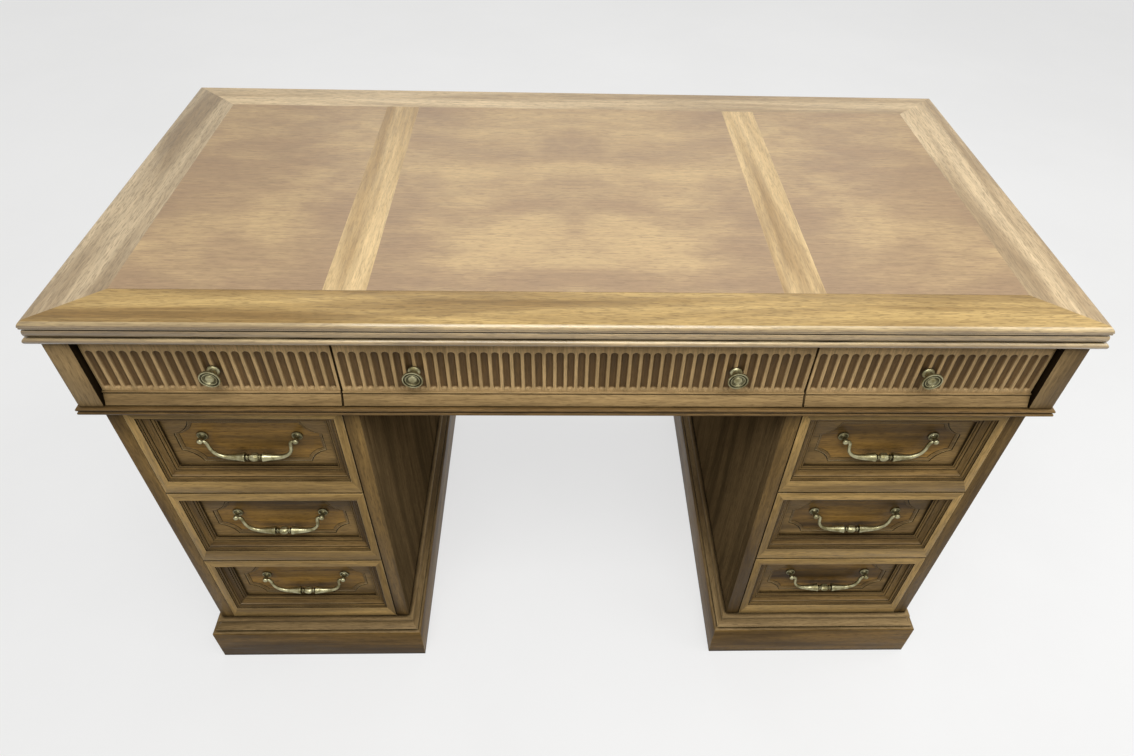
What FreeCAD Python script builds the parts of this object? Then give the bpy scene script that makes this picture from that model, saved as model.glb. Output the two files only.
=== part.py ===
"""A kneehole writing desk: banded top, fluted frieze drawers, two drawer pedestals and brass pulls.

Millimetres. +X is to the right of someone facing the drawers, +Y to the back and +Z up.
The origin is on the floor, under the middle of the desk.
"""
import FreeCAD, Part
import math
import os
import Sketcher
from types import SimpleNamespace

SIZES = {
    # The whole desk
    "desk_width": 1219,
    "desk_depth": 610,
    "desk_height": 762,
    # The top: moulded border lengths round a core that carries veneer bands and fields
    "top_thickness": 30,
    "border_front": 64,
    "border_back": 68,
    "border_end": 76,
    "veneer_thickness": 2,
    "band_width": 50,
    "side_field_width": 241.5,
    "nose_radius": 7,
    "nose_setback": 2,
    "edge_step": 3.6,
    "edge_groove": 6,
    "edge_quirk": 1.6,
    "edge_reed": 3.5,
    "edge_reed_rise": 1.2,
    "edge_band_rise": 0.8,
    "edge_bead": 8,
    "edge_bead_rise": 2.8,
    # The frieze: corner posts, ends, back and dividers between the top and the waist
    "top_overhang": 10.5,
    "frieze_height": 108,
    "post_width": 30,
    "frieze_board": 18,
    "frieze_inset": 4,
    "divider_setback": 11,
    # The waist: a double-reeded moulding round the floor board of the frieze
    "waist_height": 11,
    "waist_projection": 4,
    "waist_width": 24,
    "waist_quirk": 1.2,
    "waist_reed_rise": 2,
    # The frieze drawer fronts with their stopped flutes
    "frieze_front_setback": 19.5,
    "frieze_front_thickness": 20,
    "frieze_front_gap": 1.5,
    "post_gap": 2,
    "divider_gap": 1.25,
    "strip_height": 15,
    "strip_rise": 8,
    "strip_splay": 5.5,
    "strip_bead": 3,
    "strip_bead_rise": 0.9,
    "strip_bead_proud": 2,
    "strip_quirk": 1,
    "flute_pitch": 12.7,
    "flute_width": 9,
    "flute_depth": 3.4,
    "flute_foot": 20.5,
    "flute_head": 23,
    "flute_air": 1,
    # The pedestals
    "pedestal_width": 313,
    "pedestal_end_setback": 24.5,
    "pedestal_setback": 25.5,
    "stile_width": 20,
    "stile_depth": 20,
    "top_rail_height": 8,
    "floor_thickness": 18,
    "back_thickness": 8,
    # The plinths
    "plinth_height": 100,
    "plinth_projection": 19,
    "plinth_board": 72,
    "plinth_round": 3.5,
    "plinth_quirk": 1.5,
    "plinth_quirk_depth": 7,
    "plinth_fillet": 5,
    "plinth_cove_foot": 79,
    "plinth_cove_head": 15,
    "plinth_cove_rise": 3,
    "plinth_collar": 7,
    "plinth_collar_setback": 13,
    "plinth_collar_rise": 1.6,
    # The pedestal drawer fronts: a panel with a sunk cartouche behind an applied moulded frame
    "front_gap": 2.5,
    "front_side_gap": 1,
    "front_lift": 2.5,
    "front_proud": 1,
    "panel_thickness": 16,
    "frame_thickness": 17,
    "frame_flat_side": 11.5,
    "frame_flat_top": 16,
    "frame_flat_bottom": 24,
    "frame_step": 2.5,
    "frame_fillet": 2.5,
    "frame_cove_width": 10,
    "frame_cove_foot": 5.5,
    "frame_cove_rise": 2.4,
    "frame_lip": 4.5,
    "frame_lip_height": 4,
    "cartouche_end_margin": 10.5,
    "cartouche_edge_margin": 5.75,
    "cartouche_corner_run": 24,
    "cartouche_corner_rise": 23.5,
    "cartouche_scallop": 4.5,
    "cartouche_depth": 3.5,
    "cartouche_slope": 45,
    # The drawer boxes and what they run on
    "box_board": 12,
    "box_bottom": 6,
    "box_bottom_lift": 8,
    "box_back_gap": 40,
    "box_clearance": 3,
    "box_lift": 18,
    "box_head_gap": 27.5,
    "frieze_box_clearance": 2,
    "runner_width": 20,
    "runner_height": 12,
    "running_gap": 0.3,
    # The brass knobs
    "knob_inset": 90,
    "knob_radius": 12.5,
    "knob_foot_radius": 7.5,
    "knob_stem_radius": 4.5,
    "knob_dish_radius": 9.5,
    "knob_eye_radius": 6,
    "knob_foot": 2,
    "knob_flare": 4,
    "knob_stem": 8,
    "knob_rim": 14,
    "knob_dish_depth": 1.2,
    "knob_projection": 17,
    # The bail pulls
    "pull_span": 124,
    "pull_rise": 10,
    "rosette_radius": 7.25,
    "rosette_height": 2.5,
    "rosette_edge": 1,
    "pull_neck_flare": 3.6,
    "pull_neck_radius": 2.8,
    "pull_neck_foot": 4,
    "pull_ball_radius": 4,
    "pull_ball_shoulder": 2.4,
    "pull_reach": 10.5,
    "pivot_radius": 1.5,
    "pivot_clearance": 0.45,
    "pivot_inset": 8,
    "bail_elbow": 4,
    "bail_drop": 32,
    "bail_bend": 20,
    "bail_radius": 2.4,
    "bail_flare_radius": 4.8,
    "bail_flare_end": 9.5,
    "bail_neck_radius": 2.6,
    "bail_melon_radius": 5.4,
    "bail_melon_half": 5,
    "bail_melon_shoulder": 3,
    "bail_neck_step": 0.5,
}

# The round brass pieces are turned with this many sides
KNOB_SIDES = 16
POST_SIDES = 8
BAIL_SIDES = 6
# The fronts of a pedestal from the floor up
LEVELS = ("lower", "middle", "upper")
# Where the facets of a flute meet, across it from its right edge to its left one
FLUTE_SHARES = (1, 0.5, 0, -0.5, -1)
# How far a quarter circle stands off its chord, as a share of its radius
QUARTER_RISE = 1 - math.cos(math.pi / 4)


class Size:
    """A length that carries both its number and the sheet formula that gives it."""

    def __init__(self, number, formula):
        self.number = float(number)
        self.formula = formula

    def __add__(self, other):
        other = as_size(other)
        return Size(self.number + other.number, f"({self.formula} + {other.formula})")

    def __sub__(self, other):
        other = as_size(other)
        return Size(self.number - other.number, f"({self.formula} - {other.formula})")

    def __mul__(self, other):
        other = as_size(other)
        return Size(self.number * other.number, f"({self.formula} * {other.formula})")

    def __truediv__(self, other):
        other = as_size(other)
        return Size(self.number / other.number, f"({self.formula} / {other.formula})")

    def __neg__(self):
        return self * -1

    def whole(self):
        return Size(math.floor(self.number), f"floor({self.formula})")


def as_size(value):
    if isinstance(value, Size):
        return value
    return Size(value, repr(float(value)))


ZERO = as_size(0)

doc = FreeCAD.newDocument("desk")
sheet = doc.addObject("Spreadsheet::Sheet", "sizes")
for row, (alias, number) in enumerate(SIZES.items(), 1):
    sheet.set(f"A{row}", alias)
    sheet.set(f"B{row}", str(number))
    sheet.setAlias(f"B{row}", alias)
doc.recompute()
size = SimpleNamespace(**{alias: Size(number, f"sizes.{alias}") for alias, number in SIZES.items()})
nodes = []


def bind(item, **values):
    """Ties properties of a document object to the sheet."""
    for name, value in values.items():
        item.setExpression(name, value.formula)


def place(item, x, y, z, axis=(0, 0, 1), angle=0):
    """Turns a piece about an axis through its own origin and moves that origin to x, y, z."""
    item.Placement = FreeCAD.Placement(FreeCAD.Vector(), FreeCAD.Rotation(FreeCAD.Vector(*axis), angle))
    for name, value in (("x", x), ("y", y), ("z", z)):
        item.setExpression(f"Placement.Base.{name}", as_size(value).formula)
    return item


def board(name, low, high):
    """A square-edged board between two opposite corners."""
    item = doc.addObject("Part::Box", name)
    length, width, height = (as_size(b) - as_size(a) for a, b in zip(low, high))
    bind(item, Length=length, Width=width, Height=height)
    return place(item, *low)


def group(name, pieces):
    """Separate pieces that are kept together under one name."""
    item = doc.addObject("Part::Compound", name)
    item.Links = list(pieces)
    return item


def copy_of(piece, x, y, z, axis=(0, 0, 1), angle=0):
    """The same piece again at another place."""
    return place(group(f"{piece.Name}_copy", [piece]), x, y, z, axis, angle)


def node(label, item):
    """Gives a finished sub-part the name that it is kept under."""
    item.Label = label
    nodes.append(item)
    return item


def origin_feature(body, role):
    return next(item for item in body.Origin.OriginFeatures if item.Role == role)


def corner(x, y, curve=None, rise=None):
    """A corner of an outline. The edge to the next corner is straight, a bead or a cove of that rise."""
    return SimpleNamespace(x=as_size(x), y=as_size(y), curve=curve, rise=rise and as_size(rise))


def quarter_round(radius):
    return "bead", radius * QUARTER_RISE


def arc_between(first, second):
    """The arc from one corner to the next, its radius, and which of its ends lies on the first corner."""
    run = second.x - first.x
    climb = second.y - first.y
    radius = ((run * run + climb * climb) / 4 + first.rise * first.rise) / (first.rise * 2)
    side = 1 if first.curve == "bead" else -1
    start = FreeCAD.Vector(first.x.number, first.y.number)
    end = FreeCAD.Vector(second.x.number, second.y.number)
    inward = FreeCAD.Vector(-climb.number, run.number).normalize() * side
    centre = (start + end) / 2 + inward * (radius.number - first.rise.number)
    from_angle, to_angle = (math.atan2(p.y - centre.y, p.x - centre.x) for p in (start, end))
    if side < 0:
        from_angle, to_angle = to_angle, from_angle
    if to_angle < from_angle:
        to_angle += 2 * math.pi
    circle = Part.Circle(centre, FreeCAD.Vector(0, 0, 1), radius.number)
    return Part.ArcOfCircle(circle, from_angle, to_angle), radius, 1 if side > 0 else 2


def pin_corner(sketch, edge, end, point):
    """Holds one end of an edge at its corner's sizes."""
    for axis, kind, value in ((-2, "DistanceX", point.x), (-1, "DistanceY", point.y)):
        if value is ZERO:
            sketch.addConstraint(Sketcher.Constraint("PointOnObject", edge, end, axis))
        else:
            rule = Sketcher.Constraint(kind, -1, 1, edge, end, value.number)
            sketch.setExpression(f"Constraints[{sketch.addConstraint(rule)}]", value.formula)


def outline(body, role, *loops):
    """A sketch of closed outlines on one of the body's own planes, each drawn counter-clockwise."""
    sketch = body.newObject("Sketcher::SketchObject", "Outline")
    sketch.AttachmentSupport = (origin_feature(body, role), [""])
    sketch.MapMode = "FlatFace"
    for corners in loops:
        base = sketch.GeometryCount
        ends = []
        for first, second in zip(corners, corners[1:] + corners[:1]):
            if first.curve:
                arc, radius, end = arc_between(first, second)
                edge = sketch.addGeometry(arc)
                rule = sketch.addConstraint(Sketcher.Constraint("Radius", edge, radius.number))
                sketch.setExpression(f"Constraints[{rule}]", radius.formula)
            else:
                start = FreeCAD.Vector(first.x.number, first.y.number)
                stop = FreeCAD.Vector(second.x.number, second.y.number)
                sketch.addGeometry(Part.LineSegment(start, stop))
                end = 1
            ends.append(end)
        for index, point in enumerate(corners):
            following = (index + 1) % len(corners)
            joint = (base + index, 3 - ends[index], base + following, ends[following])
            sketch.addConstraint(Sketcher.Constraint("Coincident", *joint))
            pin_corner(sketch, base + index, ends[index], point)
    return sketch


def pad(body, sketch, length, reverse=False):
    item = body.newObject("PartDesign::Pad", "Pad")
    item.Profile = sketch
    item.Reversed = reverse
    bind(item, Length=length)
    return item


def moulded_length(name, profile, length, width, near_run, far_run):
    """A length of moulding with mitred ends. Its outer edge runs along X from the origin, the inner one
    lies at Y = width, and near_run and far_run are what the mitres take off the inner edge."""
    body = doc.addObject("PartDesign::Body", name)
    pad(body, outline(body, "YZ_Plane", profile), length)
    near = [corner(ZERO, ZERO), corner(near_run, width), corner(ZERO, width)]
    far = [corner(length, ZERO), corner(length, width), corner(length - far_run, width)]
    mitres = body.newObject("PartDesign::Pocket", "Mitres")
    mitres.Profile = outline(body, "XY_Plane", near, far)
    mitres.Type = "ThroughAll"
    mitres.Reversed = True
    return body


def mitred_ring(name, profile, size_x, size_y, front, right, back, left):
    """Four mitred lengths round a rectangle centred on the origin. profile takes a length's width."""
    half_x = size_x / 2
    half_y = size_y / 2
    sides = (
        ("front", size_x, front, left, right, -half_x, -half_y, 0),
        ("right", size_y, right, front, back, half_x, -half_y, 90),
        ("back", size_x, back, right, left, half_x, half_y, 180),
        ("left", size_y, left, back, front, -half_x, half_y, 270),
    )
    lengths = []
    for side, length, width, near_run, far_run, x, y, angle in sides:
        piece = moulded_length(f"{name}_{side}", profile(width), length, width, near_run, far_run)
        lengths.append(place(piece, x, y, ZERO, angle=angle))
    return lengths


def faceted(name, sides, stations):
    """A flat-sided solid through many-sided sections. A station is the x and z of a section's centre,
    its lean about Y in degrees and its radius. Without a lean the section lies level."""
    loops = []
    for x, z, lean, radius in stations:
        turn = FreeCAD.Rotation(FreeCAD.Vector(0, 1, 0), lean)
        centre = FreeCAD.Vector(as_size(x).number, 0, as_size(z).number)
        angles = [2 * math.pi * side / sides for side in range(sides)]
        arms = [FreeCAD.Vector(math.cos(angle), math.sin(angle), 0) * radius.number for angle in angles]
        loops.append([centre + turn.multVec(arm) for arm in arms])
    faces = [flat_face(*loops[0]), flat_face(*loops[-1])]
    for lower, upper in zip(loops, loops[1:]):
        for here in range(sides):
            faces.append(flat_face(lower[here - 1], lower[here], upper[here]))
            faces.append(flat_face(lower[here - 1], upper[here], upper[here - 1]))
    item = doc.addObject("Part::Feature", name)
    solid = Part.makeSolid(Part.makeShell(faces)).removeSplitter()
    item.Shape = solid if solid.Volume > 0 else solid.reversed()
    return item


def flat_face(*points):
    return Part.Face(Part.makePolygon([*points, points[0]]))


def turned(name, sides, stations):
    """A flat-sided turning along Z through (height, radius) stations."""
    return faceted(name, sides, [(ZERO, height, 0, radius) for height, radius in stations])


def across(side, inner, outer):
    """Left and right limits of something on one side of the desk, from its kneehole and outer faces."""
    return (inner, outer) if side == "right" else (-outer, -inner)


# Levels and faces that several sections share
half_width = size.desk_width / 2
half_depth = size.desk_depth / 2
top_underside = size.desk_height - size.top_thickness
waist_top = top_underside - size.frieze_height
waist_underside = waist_top - size.waist_height
pedestal_outer = half_width - size.pedestal_end_setback
pedestal_inner = pedestal_outer - size.pedestal_width
divider_middle = pedestal_inner + size.divider_setback


# Top: four border lengths with a moulded edge, mitred round a core board


def top_edge(width):
    """Rounded nose, reed, quirk, swelling band, quirk and a bead that stands out furthest."""
    nose = size.top_thickness - size.nose_radius
    reed = nose - size.edge_reed
    band = reed - size.edge_quirk
    quirk = size.edge_bead + size.edge_quirk
    return [
        corner(width, ZERO),
        corner(width, size.top_thickness),
        corner(size.nose_setback + size.nose_radius, size.top_thickness, *quarter_round(size.nose_radius)),
        corner(size.nose_setback, nose),
        corner(size.edge_step, nose, "bead", size.edge_reed_rise),
        corner(size.edge_step, reed),
        corner(size.edge_groove, reed),
        corner(size.edge_groove, band),
        corner(size.edge_step, band, "bead", size.edge_band_rise),
        corner(size.edge_step, quirk),
        corner(size.edge_groove, quirk),
        corner(size.edge_groove, size.edge_bead),
        corner(size.edge_bead_rise, size.edge_bead, "bead", size.edge_bead_rise),
        corner(size.edge_bead_rise, ZERO),
    ]


border = mitred_ring("border", top_edge, size.desk_width, size.desk_depth, size.border_front,
                     size.border_end, size.border_back, size.border_end)
node("top_border", place(group("top_border", border), ZERO, ZERO, top_underside))

core_end = half_width - size.border_end
core_front = size.border_front - half_depth
core_back = half_depth - size.border_back
veneer_underside = size.desk_height - size.veneer_thickness
node("top_core", board("top_core", (-core_end, core_front, top_underside),
                       (core_end, core_back, veneer_underside)))

band_outer = core_end - size.side_field_width
band_inner = band_outer - size.band_width


def veneer(name, left, right):
    return board(name, (left, core_front, veneer_underside), (right, core_back, size.desk_height))


node("top_cross_bands", group("top_cross_bands", [
    veneer("left_band", -band_outer, -band_inner),
    veneer("right_band", band_inner, band_outer),
]))
node("top_fields", group("top_fields", [
    veneer("left_field", -core_end, -band_outer),
    veneer("centre_field", -band_inner, band_inner),
    veneer("right_field", band_outer, core_end),
]))


# Waist: a reeded moulding round the floor board that the frieze drawers run on


def waist_edge(width):
    """Two reeds with a quirk between them."""
    reed = (size.waist_height - size.waist_quirk) / 2
    rise = size.waist_reed_rise
    return [
        corner(width, ZERO),
        corner(width, size.waist_height),
        corner(rise, size.waist_height, "bead", rise),
        corner(rise, size.waist_height - reed),
        corner(rise + size.waist_quirk, size.waist_height - reed),
        corner(rise + size.waist_quirk, reed),
        corner(rise, reed, "bead", rise),
        corner(rise, ZERO),
    ]


frieze_end = half_width - size.top_overhang
frieze_face = size.top_overhang - half_depth
waist_end = frieze_end + size.waist_projection
waist_face = frieze_face - size.waist_projection
waist = mitred_ring("waist", waist_edge, waist_end * 2, waist_face * -2, size.waist_width,
                    size.waist_width, size.waist_width, size.waist_width)
node("waist_moulding", place(group("waist_moulding", waist), ZERO, ZERO, waist_underside))
floor_end = waist_end - size.waist_width
floor_face = waist_face + size.waist_width
node("frieze_floor", board("frieze_floor", (-floor_end, floor_face, waist_underside),
                           (floor_end, -floor_face, waist_top)))


# Frieze: corner posts with the ends and the back between them, and two dividers

post_inner = frieze_end - size.post_width
post_back = frieze_face + size.post_width
posts = []
for x_low, x_high in ((-frieze_end, -post_inner), (post_inner, frieze_end)):
    for y_low, y_high in ((frieze_face, post_back), (-post_back, -frieze_face)):
        posts.append(board("post", (x_low, y_low, waist_top), (x_high, y_high, top_underside)))
node("frieze_posts", group("frieze_posts", posts))

panel_outside = frieze_end - size.frieze_inset
panel_inside = panel_outside - size.frieze_board
for side in ("left", "right"):
    x_low, x_high = across(side, panel_inside, panel_outside)
    node(f"frieze_{side}_end", board(f"frieze_{side}_end", (x_low, post_back, waist_top),
                                     (x_high, -post_back, top_underside)))
back_outside = -frieze_face - size.frieze_inset
back_inside = back_outside - size.frieze_board
node("frieze_back", board("frieze_back", (-post_inner, back_inside, waist_top),
                          (post_inner, back_outside, top_underside)))

frieze_front_face = size.frieze_front_setback - half_depth
frieze_front_back = frieze_front_face + size.frieze_front_thickness
half_divider = size.frieze_board / 2
dividers = []
for middle in (-divider_middle, divider_middle):
    low = (middle - half_divider, frieze_front_back + size.running_gap, waist_top)
    dividers.append(board("divider", low, (middle + half_divider, back_inside, top_underside)))
node("frieze_dividers", group("frieze_dividers", dividers))


# Pedestals: two sides, a back, a floor, a face frame and a moulded plinth each

pedestal_face = size.pedestal_setback - half_depth
pedestal_back = -pedestal_face
pedestal_inside = pedestal_back - size.back_thickness
side_front = pedestal_face + size.stile_depth
opening_inner = pedestal_inner + size.stile_width
opening_outer = pedestal_outer - size.stile_width
top_rail = waist_underside - size.top_rail_height
lowest_front = size.plinth_height + size.front_lift
front_step = (top_rail - size.front_side_gap + size.front_gap - lowest_front) / len(LEVELS)
front_height = front_step - size.front_gap
pedestal_floor = size.plinth_height - size.floor_thickness


def plinth_edge(width):
    """Flat board with a rounded top, quirk, fillet, cove and a collar bead against the pedestal."""
    collar = size.plinth_height - size.plinth_collar
    groove_head = size.plinth_board + size.plinth_round + size.plinth_quirk
    return [
        corner(width, ZERO),
        corner(width, size.plinth_height),
        corner(size.plinth_collar_setback, size.plinth_height, "bead", size.plinth_collar_rise),
        corner(size.plinth_collar_setback, collar),
        corner(size.plinth_cove_head, collar, "cove", size.plinth_cove_rise),
        corner(size.plinth_fillet, size.plinth_cove_foot),
        corner(size.plinth_fillet, groove_head),
        corner(size.plinth_quirk_depth, groove_head),
        corner(size.plinth_quirk_depth, groove_head - size.plinth_quirk),
        corner(size.plinth_round, groove_head - size.plinth_quirk, *quarter_round(size.plinth_round)),
        corner(ZERO, size.plinth_board),
        corner(ZERO, ZERO),
    ]


plinth = group("plinth", mitred_ring(
    "plinth", plinth_edge, size.pedestal_width + size.plinth_projection * 2,
    (pedestal_back + size.plinth_projection) * 2, size.plinth_projection,
    size.plinth_projection, size.plinth_projection, size.plinth_projection))
pedestal_middle = (pedestal_inner + pedestal_outer) / 2
for side, middle in (("left", -pedestal_middle), ("right", pedestal_middle)):
    inner_low, inner_high = across(side, pedestal_inner, opening_inner)
    outer_low, outer_high = across(side, opening_outer, pedestal_outer)
    open_low, open_high = across(side, opening_inner, opening_outer)
    for wall, x_low, x_high in (("inner", inner_low, inner_high), ("outer", outer_low, outer_high)):
        name = f"{side}_{wall}_side"
        node(name, board(name, (x_low, side_front, ZERO), (x_high, pedestal_back, waist_underside)))
    node(f"{side}_face_frame", group(f"{side}_face_frame", [
        board("inner_stile", (inner_low, pedestal_face, ZERO), (inner_high, side_front, waist_underside)),
        board("outer_stile", (outer_low, pedestal_face, ZERO), (outer_high, side_front, waist_underside)),
        board("top_rail", (open_low, pedestal_face, top_rail), (open_high, side_front, waist_underside)),
        board("foot_rail", (open_low, pedestal_face, pedestal_floor),
              (open_high, side_front, size.plinth_height)),
    ]))
    node(f"{side}_pedestal_floor", board(f"{side}_pedestal_floor", (open_low, side_front, pedestal_floor),
                                         (open_high, pedestal_inside, size.plinth_height)))
    node(f"{side}_pedestal_back", board(f"{side}_pedestal_back", (open_low, pedestal_inside, ZERO),
                                        (open_high, pedestal_back, waist_underside)))
    node(f"{side}_plinth", copy_of(plinth, middle, ZERO, ZERO))


# Drawer boxes: two sides, a back and a bottom let in between them


def drawer_box(label, x_low, x_high, y_front, y_back, z_low, z_high):
    board_width = size.box_board
    back_front = y_back - board_width
    bottom_low = z_low + size.box_bottom_lift
    bottom_high = bottom_low + size.box_bottom
    inside_low = x_low + board_width
    inside_high = x_high - board_width
    node(label, group(label, [
        board("box_left", (x_low, y_front, z_low), (inside_low, y_back, z_high)),
        board("box_right", (inside_high, y_front, z_low), (x_high, y_back, z_high)),
        board("box_back", (inside_low, back_front, z_low), (inside_high, y_back, z_high)),
        board("box_floor", (inside_low, y_front, bottom_low), (inside_high, back_front, bottom_high)),
    ]))


# Frieze drawers: fluted fronts with a strip along the foot, and turned knobs

frieze_front_height = size.frieze_height - size.frieze_front_gap * 2


def frieze_front_section():
    """End view of a frieze front: fluted face, thin bead, quirk and a strip that splays out to its foot."""
    back = size.strip_rise + size.frieze_front_thickness
    bead_foot = size.strip_height + size.strip_quirk
    bead_head = bead_foot + size.strip_bead
    bead_face = size.strip_rise - size.strip_bead_proud
    quirk_depth = bead_face + size.strip_bead_rise
    return [
        corner(back, ZERO),
        corner(back, frieze_front_height),
        corner(size.strip_rise, frieze_front_height),
        corner(size.strip_rise, bead_head),
        corner(bead_face, bead_head, "bead", size.strip_bead_rise),
        corner(bead_face, bead_foot),
        corner(quirk_depth, bead_foot),
        corner(quirk_depth, size.strip_height),
        corner(size.strip_splay, size.strip_height),
        corner(ZERO, ZERO),
    ]


def flute_cut(body, level, length, slant):
    """Cuts one flute from a level, upwards for a positive length. A slanted cut runs out at the face."""
    half = size.flute_width / 2
    arc = [corner(half + half * share, size.flute_air + size.flute_depth * (1 - share * share))
           for share in FLUTE_SHARES]
    sketch = outline(body, "XY_Plane", [corner(ZERO, ZERO), corner(size.flute_width, ZERO), *arc])
    sketch.setExpression("AttachmentOffset.Base.y", (size.strip_rise - size.flute_air).formula)
    sketch.setExpression("AttachmentOffset.Base.z", level.formula)
    cut = body.newObject("PartDesign::Pocket", "Flute")
    cut.Profile = sketch
    if slant:
        cut.UseCustomVector = True
        climb = math.copysign(half.number, length.number)
        cut.Direction = FreeCAD.Vector(0, -size.flute_depth.number, climb)
    else:
        cut.Reversed = length.number > 0
    bind(cut, Length=length if length.number > 0 else -length)
    return sketch, cut


def fluted_front(name, width):
    """A front with as many whole flutes as its width holds. Each runs out to a round end."""
    body = doc.addObject("PartDesign::Body", name)
    pad(body, outline(body, "YZ_Plane", frieze_front_section()), width)
    half_flute = size.flute_width / 2
    count = (width / size.flute_pitch).whole()
    row = (count - 1) * size.flute_pitch
    foot = size.flute_foot + size.strip_quirk + half_flute
    head = frieze_front_height - size.flute_head - half_flute
    cuts = []
    stretches = (
        (foot, head - foot, False),
        (foot, -half_flute, True),
        (head, half_flute, True),
    )
    for level, length, slant in stretches:
        sketch, cut = flute_cut(body, level, length, slant)
        sketch.setExpression("AttachmentOffset.Base.x", ((width - row) / 2 - half_flute).formula)
        cuts.append(cut)
    flutes = body.newObject("PartDesign::LinearPattern", "Flutes")
    flutes.Originals = cuts
    flutes.Direction = (origin_feature(body, "X_Axis"), [""])
    bind(flutes, Length=row, Occurrences=count)
    body.Tip = flutes
    return body


knob = turned("knob", KNOB_SIDES, [
    (ZERO, size.knob_foot_radius),
    (size.knob_foot, size.knob_foot_radius),
    (size.knob_flare, size.knob_stem_radius),
    (size.knob_stem, size.knob_stem_radius),
    (size.knob_rim, size.knob_radius),
    (size.knob_projection - size.knob_dish_depth, size.knob_radius),
    (size.knob_projection, size.knob_radius - size.knob_dish_depth),
    (size.knob_projection - size.knob_dish_depth, size.knob_dish_radius),
    (size.knob_projection, size.knob_eye_radius),
])
frieze_front_foot = waist_top + size.frieze_front_gap
flute_middle = (size.flute_foot + size.strip_quirk + frieze_front_height - size.flute_head) / 2
knob_height = frieze_front_foot + flute_middle
side_front_inner = divider_middle + size.divider_gap
side_front_outer = post_inner - size.post_gap
side_knob = (side_front_inner + side_front_outer) / 2
side_box_inner = divider_middle + half_divider + size.frieze_box_clearance
side_box_outer = post_inner - size.frieze_box_clearance
centre_box = divider_middle - half_divider - size.frieze_box_clearance
centre_front = divider_middle - size.divider_gap
centre_knob = centre_front - size.knob_inset
frieze_drawers = (
    ("left", across("left", side_front_inner, side_front_outer),
     across("left", side_box_inner, side_box_outer), [-side_knob]),
    ("centre", (-centre_front, centre_front), (-centre_box, centre_box), [-centre_knob, centre_knob]),
    ("right", across("right", side_front_inner, side_front_outer),
     across("right", side_box_inner, side_box_outer), [side_knob]),
)
strip_face = frieze_front_face - size.strip_rise
for side, (x_low, x_high), (box_low, box_high), knobs in frieze_drawers:
    front = fluted_front(f"frieze_{side}_front", x_high - x_low)
    node(f"frieze_{side}_front", place(front, x_low, strip_face, frieze_front_foot))
    drawer_box(f"frieze_{side}_box", box_low, box_high, frieze_front_back, back_inside - size.box_back_gap,
               waist_top + size.running_gap, top_underside - size.box_head_gap)
    label = f"frieze_{side}_knob" if len(knobs) == 1 else f"frieze_{side}_knobs"
    turned_knobs = [copy_of(knob, x, frieze_front_face, knob_height, (1, 0, 0), 90) for x in knobs]
    node(label, group(label, turned_knobs))


# Pedestal drawer fronts: a mitred frame with a stepped moulding, applied to a panel with a cartouche

front_inner = opening_inner + size.front_side_gap
front_outer = opening_outer - size.front_side_gap
front_width = front_outer - front_inner
front_face = pedestal_face - size.front_proud
field_face = front_face + size.frame_thickness
panel_back = field_face + size.panel_thickness
moulding_width = size.frame_fillet + size.frame_cove_width + size.frame_lip
frame_side = size.frame_flat_side + moulding_width
frame_top = size.frame_flat_top + moulding_width
frame_bottom = size.frame_flat_bottom + moulding_width


def frame_section(width):
    """Flat, step, fillet, cove and a lip that drops to the field of the panel."""
    lip = width - size.frame_lip
    cove = lip - size.frame_cove_width
    fillet = cove - size.frame_fillet
    step = size.frame_thickness - size.frame_step
    return [
        corner(ZERO, ZERO),
        corner(width, ZERO),
        corner(width, size.frame_lip_height),
        corner(lip, size.frame_lip_height),
        corner(lip, size.frame_cove_foot, "cove", size.frame_cove_rise),
        corner(cove, step),
        corner(fillet, step),
        corner(fillet, size.frame_thickness),
        corner(ZERO, size.frame_thickness),
    ]


frame = group("frame", mitred_ring("frame", frame_section, front_width, front_height, frame_bottom,
                                   frame_side, frame_top, frame_side))
cartouche_centre = (frame_bottom + front_height - frame_top) / 2


def cartouche(middle_x, middle_z):
    """Long straight edges, short upright ends, and corners scooped out between them."""
    half_x = front_width / 2 - frame_side - size.cartouche_end_margin
    half_z = (front_height - frame_bottom - frame_top) / 2 - size.cartouche_edge_margin
    end = half_z - size.cartouche_corner_rise
    edge = half_x - size.cartouche_corner_run
    scallop = ("cove", size.cartouche_scallop)
    return [
        corner(middle_x + half_x, middle_z - end),
        corner(middle_x + half_x, middle_z + end, *scallop),
        corner(middle_x + edge, middle_z + half_z),
        corner(middle_x - edge, middle_z + half_z, *scallop),
        corner(middle_x - half_x, middle_z + end),
        corner(middle_x - half_x, middle_z - end, *scallop),
        corner(middle_x - edge, middle_z - half_z),
        corner(middle_x + edge, middle_z - half_z, *scallop),
    ]


def front_panel(name, height, centres):
    """A panel with its face on the XZ plane and a cartouche sunk round each centre."""
    body = doc.addObject("PartDesign::Body", name)
    sheet_corners = [
        corner(ZERO, ZERO),
        corner(front_width, ZERO),
        corner(front_width, height),
        corner(ZERO, height),
    ]
    pad(body, outline(body, "XZ_Plane", sheet_corners), size.panel_thickness, reverse=True)
    sunk = body.newObject("PartDesign::Pocket", "Cartouche")
    sunk.Profile = outline(body, "XZ_Plane", *[cartouche(front_width / 2, centre) for centre in centres])
    bind(sunk, Length=size.cartouche_depth, TaperAngle=-size.cartouche_slope)
    return body


# Bail pulls: turned posts with rosettes, and a swan-neck bail that swings on pivots in the posts

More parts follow.
